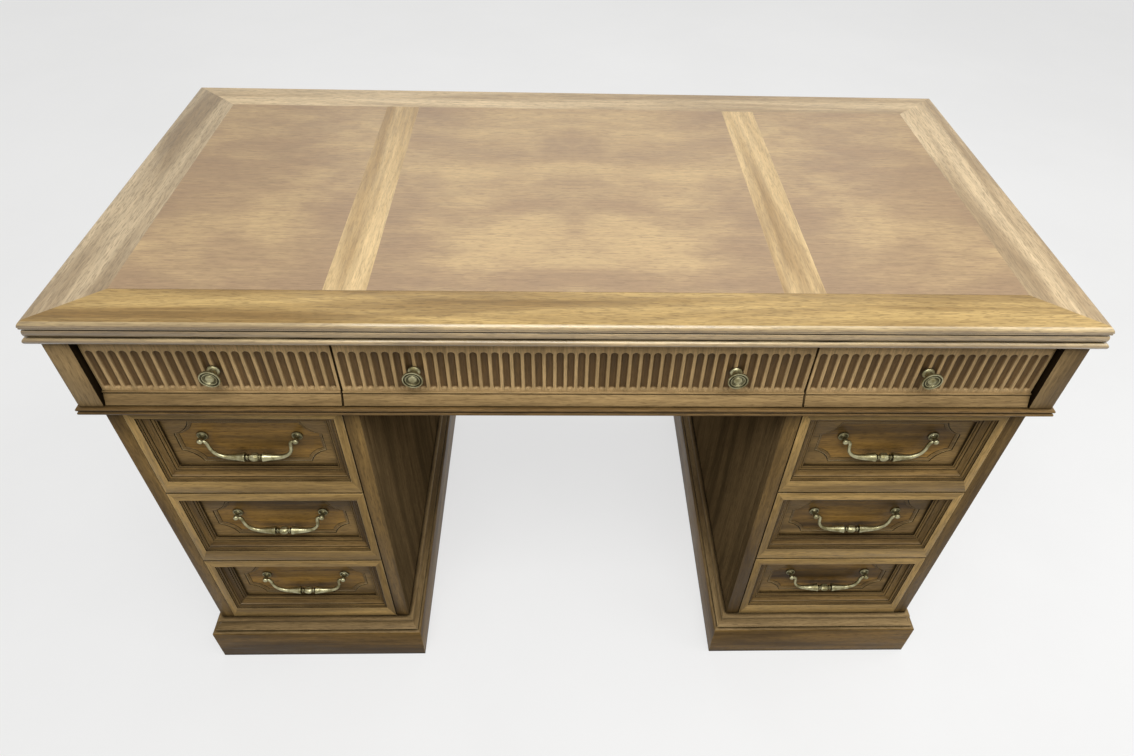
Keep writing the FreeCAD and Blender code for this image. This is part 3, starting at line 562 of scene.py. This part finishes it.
CROSS_PALE = (0.700, 0.510, 0.260)
CROSS_DARK = (0.350, 0.225, 0.098)
BORDER_PALE = (0.690, 0.530, 0.320)
BORDER_DARK = (0.360, 0.255, 0.142)
# A greyer, paler tone on the left length of the border, a painted reflection
LEFT_REFLECTION_PALE = (0.566, 0.443, 0.282)
LEFT_REFLECTION_DARK = (0.294, 0.213, 0.125)
FRONT_PALE = (0.530, 0.362, 0.140)
FRONT_DARK = (0.235, 0.141, 0.046)
EDGE_PALE = (0.640, 0.480, 0.240)
EDGE_DARK = (0.300, 0.205, 0.090)
# Upright faces of the top's moulded edge are darker: a painted shade
UPRIGHT_SHADE_PALE = (0.490, 0.352, 0.182)
UPRIGHT_SHADE_DARK = (0.212, 0.142, 0.066)
TOP_WORN = (0.660, 0.500, 0.280)
FIELD_PALE = (0.560, 0.398, 0.206)
FIELD_DARK = (0.352, 0.236, 0.138)
border_tones = (
    ("front", "x", FRONT_PALE, FRONT_DARK),
    ("back", "x", BORDER_PALE, BORDER_DARK),
    ("right", "y", BORDER_PALE, BORDER_DARK),
    ("left", "y", LEFT_REFLECTION_PALE, LEFT_REFLECTION_DARK),
)
edge_tones = (("edge", EDGE_PALE, EDGE_DARK), ("upright_shade", UPRIGHT_SHADE_PALE, UPRIGHT_SHADE_DARK))
POLISH = {"gloss": 0.2, "coat": 0.1}
border_finishes = [
    walnut("border_walnut_" + name, along, pale, dark, TOP_WORN, fibre=0.34, pores=0.45, **POLISH)
    for name, along, pale, dark in border_tones
]
edge_finishes = moulding_walnuts(edge_tones, TOP_WORN, glaze=1.0, wear=0.8, gloss=0.5, coat=0.9)
cross_finish = walnut(
    "cross_band_walnut", "y", CROSS_PALE, CROSS_DARK, TOP_WORN, fibre=0.28, pores=0.3, **POLISH
)
field_finish = walnut(
    "field_walnut", "x", FIELD_PALE, FIELD_DARK, FIELD_PALE, cloud=0.9, fibre=0.22, pores=0.35, wear=0.0,
    matched=True, **POLISH,
)
FRONT, BACK, RIGHT, LEFT, EDGE_X, EDGE_Y = range(6)
BORDER_FRONT, BORDER_BACK, BORDER_END = 64 * MM, 68 * MM, 76 * MM
BORDER_ARRIS = 0.4 * MM
TOP_SKIN = 4 * MM
UPRIGHT = 0.35
BORDER_OUTLINE = [
    (64, 0), (64, 30), (9, 30, 2.05), (2, 23), (3.6, 23, 1.2), (3.6, 19.5), (6, 19.5), (6, 17.9),
    (3.6, 17.9, 0.8), (3.6, 9.6), (6, 9.6), (6, 8), (2.8, 8, 2.8), (2.8, 0),
]
low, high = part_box("top_border")
middle, half = (low + high) / 2, (high - low) / 2
border = moulded_round("top_border_lengths", "top_border", BORDER_OUTLINE)
inside = half - Vector((BORDER_FRONT, BORDER_FRONT, 0))
for vertex in border.data.vertices:
    away = vertex.co - middle
    if abs(away.x) < inside.x + MM and abs(away.y) < inside.y + MM:
        vertex.co.x = math.copysign(high.x - BORDER_END, away.x)
        vertex.co.y = high.y - BORDER_BACK if away.y > 0 else low.y + BORDER_FRONT
soften(border, BORDER_ARRIS)
finished(border, *border_finishes, *edge_finishes)
for face in border.data.polygons:
    away = face.center - middle
    lengthwise = half.y - abs(away.y) < half.x - abs(away.x)
    if face.normal.z < SQUARE_ON or face.center.z < high.z - TOP_SKIN:
        # Upright faces of the edge take the darker tone, as painted shade
        upright_shade = 2 if abs(face.normal.z) < UPRIGHT else 0
        face.material_index = (EDGE_X if lengthwise else EDGE_Y) + upright_shade
    elif lengthwise:
        face.material_index = FRONT if away.y < 0 else BACK
    else:
        face.material_index = RIGHT if away.x > 0 else LEFT
fitted(border, "carcass", "walnut_banding", "top_border")
refinish("top_cross_bands", cross_finish)
refinish("top_fields", field_finish)
refinish("top_core", timber_finish["x"])


# Frieze drawers: plain timber boxes behind walnut fronts with a row of stopped flutes over a plain strip.
# The flutes are run with a round cutter and stopped at both ends.
# A bead and quirk part them from the splayed strip.

STRIP_RISE = 8 * MM
STRIP_HEAD = 19 * MM
FRONT_ARRIS = 0.5 * MM
FLUTE_PITCH, FLUTE_WIDTH, FLUTE_DEPTH = 12.7 * MM, 9 * MM, 3.4 * MM
FLUTE_FOOT, FLUTE_HEAD = 21.5 * MM, 82 * MM
SIDE_FLUTES, CENTRE_FLUTES = 22, 44
CUTTER_SIDES, CUTTER_RINGS = 40, 19
FRONT_OUTLINE = [
    (0, 0), (5.5, 15), (6.9, 15), (6.9, 16), (6, 16, -0.9), (6, 19), (8, 19), (8, 105), (28, 105), (28, 0),
]


def carve(piece, cutter):
    """The cutter's shape taken out of the piece."""
    pick(piece)
    cut = piece.modifiers.new("cut", "BOOLEAN")
    cut.operation = "DIFFERENCE"
    cut.solver = "EXACT"
    cut.object = cutter
    bpy.ops.object.modifier_apply(modifier="cut")
    bpy.data.objects.remove(cutter)


def flute_cutter(flutes, first, face, level):
    """A row of round-ended cutters, each a ball drawn out upright about its level."""
    radius = (FLUTE_WIDTH ** 2 / 4 + FLUTE_DEPTH ** 2) / (2 * FLUTE_DEPTH)
    end = FLUTE_WIDTH / 2
    straight = (FLUTE_HEAD - FLUTE_FOOT) / 2 - end
    centre = (first, face + FLUTE_DEPTH - radius, level)
    bpy.ops.object.select_all(action="DESELECT")
    bpy.ops.mesh.primitive_uv_sphere_add(
        segments=CUTTER_SIDES, ring_count=CUTTER_RINGS, radius=radius, location=centre
    )
    cutter = bpy.context.object
    bpy.ops.object.transform_apply(location=True, rotation=True, scale=True)
    for vertex in cutter.data.vertices:
        above = vertex.co.z - level
        vertex.co.z = level + above * end / radius + math.copysign(straight, above)
    row = cutter.modifiers.new("row", "ARRAY")
    row.count = flutes
    row.use_relative_offset = False
    row.use_constant_offset = True
    row.constant_offset_displace = (FLUTE_PITCH, 0, 0)
    bpy.ops.object.modifier_apply(modifier="row")
    return cutter


def fluted_front(node, flutes):
    """A drawer front of the node's length, with its row of flutes cut in the middle."""
    low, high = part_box(node)
    section = [(low.x, low.y + u * MM, low.z + v * MM) for u, v in outline(FRONT_OUTLINE)]
    front = traced(node + "_fluted", section)
    start_shaping()
    bpy.ops.mesh.edge_face_add()
    bpy.ops.mesh.extrude_region_move(TRANSFORM_OT_translate={"value": (high.x - low.x, 0, 0)})
    end_shaping()
    soften(front, FRONT_ARRIS)
    first = (low.x + high.x) / 2 - (flutes - 1) / 2 * FLUTE_PITCH
    level = low.z + (FLUTE_FOOT + FLUTE_HEAD) / 2
    carve(front, flute_cutter(flutes, first, low.y + STRIP_RISE, level))
    smooth(front)
    return front


FLUTE_PALE = (0.640, 0.436, 0.207)
FLUTE_DARK = (0.460, 0.306, 0.140)
STRIP_PALE = (0.430, 0.285, 0.125)
STRIP_DARK = (0.190, 0.120, 0.048)
STAIN_STARTS, STAIN_ENDS = 0.2 * MM, 2.0 * MM
front_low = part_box("frieze_centre_front")[0]
flute_face = front_low.y + STRIP_RISE
valley = (flute_face + STAIN_STARTS, flute_face + STAIN_ENDS)
flute_finish = walnut(
    "fluted_walnut", "z", FLUTE_PALE, FLUTE_DARK, CASE_WORN, glaze=0.7, wear=0.7, sunk=valley
)
strip_finish = walnut("strip_walnut", "x", STRIP_PALE, STRIP_DARK, CASE_WORN)
fronts = {
    "left": fluted_front("frieze_left_front", SIDE_FLUTES),
    "centre": fluted_front("frieze_centre_front", CENTRE_FLUTES),
}
for front in fronts.values():
    finished(front, flute_finish, strip_finish)
    for face in front.data.polygons:
        face.material_index = 1 if face.center.z < front_low.z + STRIP_HEAD else 0
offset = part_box("frieze_right_front")[0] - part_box("frieze_left_front")[0]
fronts["right"] = copied(fronts["left"], "frieze_right_front_fluted", offset)
for place, front in fronts.items():
    fitted(front, f"frieze_{place}_drawer", "walnut", f"frieze_{place}_front")
    refinish(f"frieze_{place}_box", timber_finish["y"])


# Knobs: turned brass, a flat head with two rings round a low dome, on a waisted stem.
# Each is screwed on from inside the drawer.

BRASS_PALE = (0.430, 0.402, 0.240, 1.0)
BRASS_TARNISH = (0.200, 0.172, 0.080, 1.0)
BRASS_DIRT_AND_SHADE = (0.020, 0.015, 0.008, 1.0)
BRASS_ROUGHNESS = (0.34, 0.50)
BRASS_BUMP, BRASS_RELIEF = 0.12, 0.2 * MM
TARNISH_WAVES = (90.0, 90.0, 90.0)
CASTING_WAVES = (900.0, 900.0, 900.0)
DIRT_AND_SHADE_REACH, RUBBED_REACH = 3.5 * MM, 0.8 * MM


def brass(name):
    """Old lacquered brass, tarnished in patches, and dark in the recesses with dirt and painted shade."""
    finish, tree, metal, place = new_finish(name)
    metal.inputs["Metallic"].default_value = 1.0
    patches = patchy(tree, place, TARNISH_WAVES, 0.38, 0.66, detail=5.0)
    colour = mixed(tree, patches, BRASS_PALE, BRASS_TARNISH)
    # Dirt and painted shade in the recesses
    colour = laid_over(tree, colour, BRASS_DIRT_AND_SHADE, glaze_effect, place, DIRT_AND_SHADE_REACH, amount=1.0)
    colour = laid_over(tree, colour, BRASS_PALE, wear_effect, place, RUBBED_REACH, amount=0.6)
    fine = noise(tree, place, CASTING_WAVES, detail=2.0)
    relief = {"Strength": BRASS_BUMP, "Distance": BRASS_RELIEF, "Height": fine}
    tree.links.new(colour, metal.inputs["Base Color"])
    tree.links.new(spread(tree, patches, 0.0, 1.0, *BRASS_ROUGHNESS), metal.inputs["Roughness"])
    tree.links.new(add(tree, "ShaderNodeBump", relief).outputs[0], metal.inputs["Normal"])
    return finish


def turned(name, stations, seat, sides):
    """A turning about -Y that stands on its seat, through stations of (height, radius) in millimetres."""
    points = [(seat[0] + radius * MM, seat[1] - height * MM, seat[2]) for height, radius in stations]
    piece = traced(name, points)
    start_shaping()
    bpy.ops.mesh.spin(steps=sides, angle=2 * math.pi, center=seat, axis=(0, 1, 0))
    bpy.ops.mesh.select_all(action="SELECT")
    bpy.ops.mesh.remove_doubles(threshold=WELD / 2)
    bpy.ops.mesh.dissolve_degenerate(threshold=WELD / 2)
    end_shaping()
    smooth(piece)
    return piece


KNOB_SIDES = 36
KNOB_STATIONS = [
    (0, 0), (0, 7.5), (1.6, 7.5), (2.4, 6.9), (3.4, 5.0), (5.5, 4.4), (8, 4.6), (10, 6.2), (12, 9.4),
    (13.4, 11.6), (14.4, 12.4), (15.6, 12.5), (16.6, 12.1), (17, 11.4), (16.7, 10.8), (15.6, 10.4),
    (15.0, 10.0), (14.9, 9.5), (15.4, 9.1), (16.3, 8.8), (16.6, 8.3), (16.3, 7.8), (15.2, 7.4),
    (14.6, 6.9), (14.5, 6.3), (14.9, 5.7), (15.8, 5.0), (16.5, 3.8), (16.9, 2.0), (17, 0),
]
KNOB_NODES = {"left": "frieze_left_knob", "centre": "frieze_centre_knobs", "right": "frieze_right_knob"}
brass_finish = brass("old_brass")
seats = {}
for place, node in KNOB_NODES.items():
    low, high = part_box(node)
    radius = (high.z - low.z) / 2
    across = (low.x + radius, high.x - radius) if place == "centre" else ((low.x + high.x) / 2,)
    seats[place] = [Vector((x, high.y, low.z + radius)) for x in across]
pattern_seat = seats["left"][0]
pattern = turned("knob", KNOB_STATIONS, pattern_seat, KNOB_SIDES)
finished(pattern, brass_finish)
for place, node in KNOB_NODES.items():
    knobs = [copied(pattern, node, seat - pattern_seat) for seat in seats[place]]
    fitted(joined(node + "_turned", knobs), f"frieze_{place}_drawer", "brass", node)
bpy.data.objects.remove(pattern)


# Pedestal drawers: timber boxes with walnut fronts, each a board with a cartouche sunk into it.
# A quirk, a slope and a step run round the cartouche's floor, and the file drawer's board has two.
# The frames applied round them are mitred, with a flat, quirked beads, a cove and a lip.

FIELD_HALF_X, FIELD_HALF_Z = 107 * MM, 45.75 * MM
FRAME_RUN, FRAME_RISE, FRAME_FLAT = 17, 17, 11.5
FRAME_SIDE, FRAME_TOP, FRAME_FOOT = (FRAME_RUN + FRAME_FLAT) * MM, 33 * MM, 41 * MM
FIELD_RISE = FRAME_FOOT + FIELD_HALF_Z
FRONT_RISE = FIELD_RISE + FIELD_HALF_Z + FRAME_TOP
FRAME_ARRIS, PANEL_ARRIS = 0.25 * MM, 0.15 * MM
FRAME_OUTLINE = [
    (0, 0), (0, 4), (1.5, 4), (1.5, 2.8), (2.3, 2.8), (2.3, 4.2, -0.5), (5, 5.6), (5, 4.6), (5.8, 4.6),
    (5.8, 6.6, 1.2), (11.4, 11.6), (11.4, 10.6), (12.2, 10.6), (12.2, 12.6, -0.5), (14.6, 14),
    (14.6, 12.9), (15.4, 12.9), (15.4, 14.6), (FRAME_RUN, 14.6), (FRAME_RUN, FRAME_RISE),
    (FRAME_RUN + FRAME_FLAT, FRAME_RISE), (FRAME_RUN + FRAME_FLAT, 0),
]
CARTOUCHE_HALF_X, CARTOUCHE_HALF_Z = 96.5, 40
CARTOUCHE_RUN, CARTOUCHE_RISE, CARTOUCHE_SCALLOP = 24, 23.5, 4.5
CARTOUCHE_STEPS = [(1.7, 0), (1.7, 0.9), (0.7, 1.3), (2.5, 5.0), (3.5, 5.5)]
CUTTER_PROUD = 1
PANEL_SKIN = 0.3
FLOOR_ABOVE, FLOOR_BELOW = 3, 4
FLAT_ON, SLOPE_ON, EDGE_ON = 0.95, 0.75, 0.3
DRAWER_FEET = {"lower": 102.5 * MM, "middle": 270.5 * MM, "upper": 438.5 * MM}
DRAWERS = {
    "left_file": ("lower", "middle"),
    "left_upper": ("upper",),
    "right_lower": ("lower",),
    "right_middle": ("middle",),
    "right_upper": ("upper",),
}
PANEL_PALE = (0.500, 0.280, 0.070)
PANEL_DARK = (0.048, 0.026, 0.008)
SURROUND_PALE = (0.350, 0.219, 0.079)
SURROUND_DARK = (0.140, 0.085, 0.029)
SLOPE_PALE = (0.270, 0.168, 0.060)
SLOPE_DARK = (0.110, 0.066, 0.023)
FRAME_PALE = (0.640, 0.412, 0.148)
FRAME_DARK = (0.250, 0.155, 0.052)
# Painted shade for steep walls in quirks and steps
SHADOW_PALE = (0.110, 0.068, 0.022)
SHADOW_DARK = (0.035, 0.021, 0.007)
panel_finish = walnut("panel_walnut", "x", PANEL_PALE, PANEL_DARK, CASE_WORN, cloud=0.2)
surround_finish = walnut("surround_walnut", "x", SURROUND_PALE, SURROUND_DARK, CASE_WORN)
slope_finish = walnut("slope_walnut", "x", SLOPE_PALE, SLOPE_DARK, EDGE_WORN_AND_SHEEN, glaze=1.0, wear=0.9)
shadow_finish = walnut("painted_shade_walnut", "x", SHADOW_PALE, SHADOW_DARK, FRAME_PALE, glaze=1.0, wear=0.4)
frame_finish = {
    along: walnut("frame_walnut_" + along, along, FRAME_PALE, FRAME_DARK, EDGE_WORN_AND_SHEEN, glaze=1.0, wear=0.7)
    for along in ("x", "z")
}


def drawer_frame(middle_x, foot, low_y, high_y):
    """One mitred frame round a field, with its flats widened to the edges of the front."""
    middle = Vector((middle_x, (low_y + high_y) / 2, foot + FIELD_RISE))
    section = [
        (middle.x - FIELD_HALF_X - u * MM, high_y - v * MM, middle.z - FIELD_HALF_Z - u * MM)
        for u, v in outline(FRAME_OUTLINE)
    ]
    ring = mitred_ring(traced("frame", section), middle, [(-1, 1, 1), (1, 1, -1)])
    reach = (FRAME_RUN + FRAME_FLAT / 2) * MM
    for vertex in ring.data.vertices:
        away = vertex.co - middle
        if abs(away.x) > FIELD_HALF_X + reach and abs(away.z) > FIELD_HALF_Z + reach:
            vertex.co.x = middle.x + math.copysign(FIELD_HALF_X + FRAME_SIDE, away.x)
            vertex.co.z = foot + FRONT_RISE if away.z > 0 else foot
    soften(ring, FRAME_ARRIS)
    half = (FIELD_HALF_X + FRAME_SIDE, 0, FIELD_HALF_Z + FRAME_SIDE)
    finished(ring, *frame_finish.values(), *face_finish.values(), shadow_finish)
    grain_by_length(ring, middle, half, axes=(0, 2))
    for face in ring.data.polygons:
        within = abs(face.center.x - middle.x) < half[0] - MM
        within = within and foot + MM < face.center.z < foot + FRONT_RISE - MM
        # Steep walls within the frame take the near-black painted shade
        if abs(face.normal.y) < EDGE_ON and within:
            face.material_index = len(ring.data.materials) - 1
        elif face.center.y > low_y + MM:
            face.material_index += 2
    return ring


def cartouche_cutter(middle_x, middle_z, face_y):
    """A block in the cartouche's shape, just proud of the panel, with its steps of (depth, inset)."""
    end = CARTOUCHE_HALF_Z - CARTOUCHE_RISE
    edge = CARTOUCHE_HALF_X - CARTOUCHE_RUN
    corners = []
    for across, up in ((1, 1), (-1, 1), (-1, -1), (1, -1)):
        first, second = (across * CARTOUCHE_HALF_X, up * end), (across * edge, up * CARTOUCHE_HALF_Z)
        if across != up:
            first, second = second, first
        corners += [(*first, -CARTOUCHE_SCALLOP), second]
    proud_y = face_y - CUTTER_PROUD * MM
    points = [(middle_x + u * MM, proud_y, middle_z + v * MM) for u, v in outline(corners)]
    cutter = traced("cartouche_cutter", points)
    start_shaping()
    bpy.ops.mesh.edge_face_add()
    for (depth, inset), (before, outside) in zip(CARTOUCHE_STEPS, [(-CUTTER_PROUD, 0)] + CARTOUCHE_STEPS):
        bpy.ops.mesh.extrude_region_move(TRANSFORM_OT_translate={"value": (0, (depth - before) * MM, 0)})
        narrower = [(half - inset) / (half - outside) for half in (CARTOUCHE_HALF_X, CARTOUCHE_HALF_Z)]
        bpy.ops.transform.resize(
            value=(narrower[0], 1, narrower[1]), center_override=(middle_x, face_y, middle_z)
        )
    end_shaping()
    return cutter


def sunk_panel(name, levels):
    """A board with a cartouche cut into it at each level, and the cut's steep sides dark with painted shade."""
    low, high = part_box(name + "_panel")
    panel = board(low, high)
    for level in levels:
        carve(panel, cartouche_cutter((low.x + high.x) / 2, DRAWER_FEET[level] + FIELD_RISE, low.y))
    panel.name = name + "_sunk_panel"
    soften(panel, PANEL_ARRIS)
    finished(panel, panel_finish, surround_finish, slope_finish, shadow_finish)
    for face in panel.data.polygons:
        deep = (face.center.y - low.y) / MM
        facing = -face.normal.y
        if facing > FLAT_ON and FLOOR_ABOVE < deep < FLOOR_BELOW:
            face.material_index = 0
        elif deep < PANEL_SKIN or deep > FLOOR_BELOW:
            face.material_index = 1
        else:
            face.material_index = 2 if SLOPE_ON < facing < FLAT_ON else 3
    return panel


low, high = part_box("right_lower_frame")
pattern_frame = drawer_frame((low.x + high.x) / 2, DRAWER_FEET["lower"], low.y, high.y)
panel_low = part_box("right_lower_panel")[0]
panels = {name: sunk_panel(name, DRAWERS[name]) for name in ("left_file", "right_lower")}
for name in ("left_upper", "right_middle", "right_upper"):
    panels[name] = copied(panels["right_lower"], name + "_sunk_panel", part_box(name + "_panel")[0] - panel_low)
for name, levels in DRAWERS.items():
    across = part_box(name + "_panel")[0].x - panel_low.x
    rises = [DRAWER_FEET[level] - DRAWER_FEET["lower"] for level in levels]
    frames = [copied(pattern_frame, name, (across, 0, rise)) for rise in rises]
    fitted(panels[name], name + "_drawer", "walnut", name + "_panel")
    fitted(joined(name + "_frame_mouldings", frames), name + "_drawer", "walnut", name + "_frame")
    refinish(name + "_box", timber_finish["y"])
bpy.data.objects.remove(pattern_frame)


# Pulls: brass bails that swing on two turned posts, each post on a small rosette.
# The bail is cast in one, with bent shoulders and arms that swell to flared ends.
# Between them are two collars and a ribbed melon.

POST_SIDES = 24
POST_STATIONS = [
    (0, 0), (0, 7.25), (1.2, 7.25), (2.0, 7.0), (2.4, 6.4), (2.0, 5.8), (1.0, 5.3), (0.9, 4.7), (1.4, 4.0),
    (2.6, 3.3), (4, 2.9), (5.6, 2.7), (6.6, 2.9), (7.2, 3.4), (8.1, 3.9), (9.5, 4.0), (11.5, 4.0),
    (12.9, 3.6), (13.9, 2.6), (14.5, 0),
]
PULL_HALF = 62 * MM
PULL_LIFT = 10 * MM
PULL_RISE = FIELD_RISE + PULL_LIFT
PULL_REACH = 10.5 * MM
BAIL_HALF = [
    (-62, 0, 1.5), (-58.5, 0, 1.6), (-57.5, 0, 2.6), (-54.6, -2.6, 2.7), (-54, -8, 2.5), (-53.2, -16.5, 2.5),
    (-50.2, -23, 2.6), (-45, -28.2, 2.9), (-38, -31.3, 3.4), (-31, -32, 4.0), (-24, -32, 4.7),
    (-18, -32, 5.5), (-14, -32, 6.3), (-12.2, -32, 6.6), (-11.8, -32, 6.3), (-11.6, -32, 5.4),
    (-11.3, -32, 3.2), (-10.9, -32, 2.6), (-9.9, -32, 2.6), (-9.6, -32, 3.2), (-9.3, -32, 4.2),
    (-8.5, -32, 4.3), (-8.2, -32, 4.1), (-7.9, -32, 2.9), (-7.5, -32, 2.7), (-6.6, -32, 2.8),
    (-6.1, -32, 3.8), (-4.8, -32, 5.7), (-2.4, -32, 6.6),
]
BAIL_SIDES = 20
BAIL_DROP = 32 * MM
STRAIGHT = 0.0001
MELON_HALF, MELON_GROOVE = 5 * MM, 0.72
FILE_BAILS = {"lower": "left_file_lower_bail", "middle": "left_file_upper_bail"}


def bail(name, pivot):
    """A rod of round rings through stations of (across, up, radius), mirrored, with a grooved melon."""
    stations = BAIL_HALF + [(-x, z, radius) for x, z, radius in reversed(BAIL_HALF)]
    places = [Vector((pivot[0] + x * MM, pivot[1], pivot[2] + z * MM)) for x, z, radius in stations]
    radii = [radius * MM for x, z, radius in stations]
    bpy.ops.object.select_all(action="DESELECT")
    bpy.ops.mesh.primitive_circle_add(
        vertices=BAIL_SIDES, radius=radii[0], fill_type="NGON", location=places[0],
        rotation=(0, math.radians(90), 0),
    )
    rod = bpy.context.object
    rod.name = name
    bpy.ops.object.transform_apply(location=True, rotation=True, scale=True)
    start_shaping()
    heading = Vector((1, 0, 0))
    for index in range(1, len(places)):
        ahead = places[min(index + 1, len(places) - 1)] - places[index - 1]
        ahead.normalize()
        step = places[index] - places[index - 1]
        bpy.ops.mesh.extrude_region_move(TRANSFORM_OT_translate={"value": step})
        grow = radii[index] / radii[index - 1]
        bpy.ops.transform.resize(value=(grow, grow, grow), center_override=places[index])
        turn = math.atan2(heading.x * ahead.z - heading.z * ahead.x, heading.dot(ahead))
        if abs(turn) > STRAIGHT:
            bpy.ops.transform.rotate(value=turn, orient_axis="Y", center_override=places[index])
        heading = ahead
    end_shaping()
    centre = Vector((pivot[0], pivot[1], pivot[2] - BAIL_DROP))
    for vertex in rod.data.vertices:
        out = vertex.co - centre
        side = round(math.atan2(out.z, out.y) / (2 * math.pi / BAIL_SIDES))
        if abs(out.x) < MELON_HALF and side % 2:
            vertex.co.y = centre.y + out.y * MELON_GROOVE
            vertex.co.z = centre.z + out.z * MELON_GROOVE
    rounding = rod.modifiers.new("rounding", "SUBSURF")
    rounding.levels = rounding.render_levels = 1
    bpy.ops.object.modifier_apply(modifier="rounding")
    smooth(rod)
    return rod


def pull_place(name, level):
    """The middle of a pull on the panel, at the height of its posts."""
    low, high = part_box(name + "_pull_posts")
    return Vector(((low.x + high.x) / 2, high.y, DRAWER_FEET[level] + PULL_RISE))


pattern_place = pull_place("right_lower", "lower")
pattern_post = turned("post", POST_STATIONS, pattern_place, POST_SIDES)
pattern_bail = bail("bail", pattern_place - Vector((0, PULL_REACH, 0)))
finished(pattern_post, brass_finish)
finished(pattern_bail, brass_finish)
for name, levels in DRAWERS.items():
    posts = []
    for level in levels:
        offset = pull_place(name, level) - pattern_place
        for half in (-PULL_HALF, PULL_HALF):
            posts.append(copied(pattern_post, name, offset + Vector((half, 0, 0))))
        node = FILE_BAILS[level] if name == "left_file" else name + "_bail"
        fitted(copied(pattern_bail, node + "_cast", offset), node, "brass", node)
    fitted(joined(name + "_turned_posts", posts), name + "_drawer", "brass", name + "_pull_posts")
bpy.data.objects.remove(pattern_post)
bpy.data.objects.remove(pattern_bail)


# Studio: a plain pale floor and surround, which the camera and reflections see brighter than they light.
# Three large soft lamps stand above, in front and behind, and the camera has the photograph's viewpoint.

FLOOR_SIZE = 30
FLOOR_DARK = (0.26, 0.26, 0.255, 1.0)
FLOOR_PALE = (0.30, 0.30, 0.295, 1.0)
FLOOR_WAVES = (1.2, 1.2, 1.2)
FLOOR_GLOW = 0.64
WORLD_COLOUR = (1.0, 0.99, 0.97, 1.0)
WORLD_LIGHT, WORLD_SEEN = 0.24, 0.80


def seen(tree):
    """1 for what the camera, a reflection or glass looks at, and 0 for the light on the desk."""
    path = add(tree, "ShaderNodeLightPath").outputs
    reflected = figured(tree, "MAXIMUM", path["Is Glossy Ray"], path["Is Transmission Ray"])
    return figured(tree, "MAXIMUM", path["Is Camera Ray"], reflected)


bpy.ops.object.select_all(action="DESELECT")
bpy.ops.mesh.primitive_plane_add(size=FLOOR_SIZE, location=(0, 0, 0))
floor = bpy.context.object
floor.name = "studio_floor"
floor_finish, tree, paint, place = new_finish("studio_floor")
tone = patchy(tree, place, FLOOR_WAVES, 0.3, 0.7, detail=6.0)
tree.links.new(mixed(tree, tone, FLOOR_DARK, FLOOR_PALE), paint.inputs["Base Color"])
paint.inputs["Roughness"].default_value = 0.75
paint.inputs["Specular IOR Level"].default_value = 0.1
paint.inputs["Emission Color"].default_value = (1.0, 1.0, 1.0, 1.0)
tree.links.new(figured(tree, "MULTIPLY", seen(tree), FLOOR_GLOW), paint.inputs["Emission Strength"])
finished(floor, floor_finish)
floor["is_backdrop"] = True

world = bpy.data.worlds.new("studio")
bpy.context.scene.world = world
world.use_nodes = True
tree = world.node_tree
background = tree.nodes["Background"].inputs
background["Color"].default_value = WORLD_COLOUR
strength = spread(tree, seen(tree), 0.0, 1.0, WORLD_LIGHT, WORLD_SEEN)
tree.links.new(strength, background["Strength"])


def lamp(name, place, target, width, depth, power):
    """A flat soft lamp of so many watts, turned to its target."""
    light = bpy.data.lights.new(name, "AREA")
    light.shape = "RECTANGLE"
    light.size, light.size_y = width, depth
    light.energy = power
    holder = bpy.data.objects.new(name, light)
    holder.location = place
    holder.rotation_euler = (Vector(target) - Vector(place)).to_track_quat("-Z", "Y").to_euler()
    bpy.context.scene.collection.objects.link(holder)


lamp("overhead", place=(2.0, -0.2, 2.5), target=(0.2, -0.1, 0.7), width=2.2, depth=2.2, power=30)
lamp("front", place=(0.0, -1.25, 2.35), target=(0, -0.3, 0.6), width=1.8, depth=1.0, power=36)
lamp("rear", place=(0.2, 2.4, 2.7), target=(0, 0.1, 0.76), width=3.0, depth=1.8, power=20)

eye = Vector((-0.02631, -0.95634, 1.30928))
yaw, pitch, roll = math.radians(2.5825), math.radians(43.9445), math.radians(1.9838)
ahead = Vector((math.sin(yaw) * math.cos(pitch), math.cos(yaw) * math.cos(pitch), -math.sin(pitch)))
level = Vector((math.cos(yaw), -math.sin(yaw), 0))
above = level.cross(ahead)
right = level * math.cos(roll) + above * math.sin(roll)
up = above * math.cos(roll) - level * math.sin(roll)
camera = bpy.data.objects.new("camera", bpy.data.cameras.new("camera"))
camera.matrix_world = Matrix.Translation(eye) @ Matrix((right, up, -ahead)).transposed().to_4x4()
camera.data.sensor_width = 36
camera.data.lens = 24.561
camera.data.shift_x = -0.0107
camera.data.shift_y = 0.0024
camera.data.clip_start = 0.02
bpy.context.scene.collection.objects.link(camera)
bpy.context.scene.camera = camera
bpy.context.scene.view_settings.view_transform = "Standard"

low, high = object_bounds()
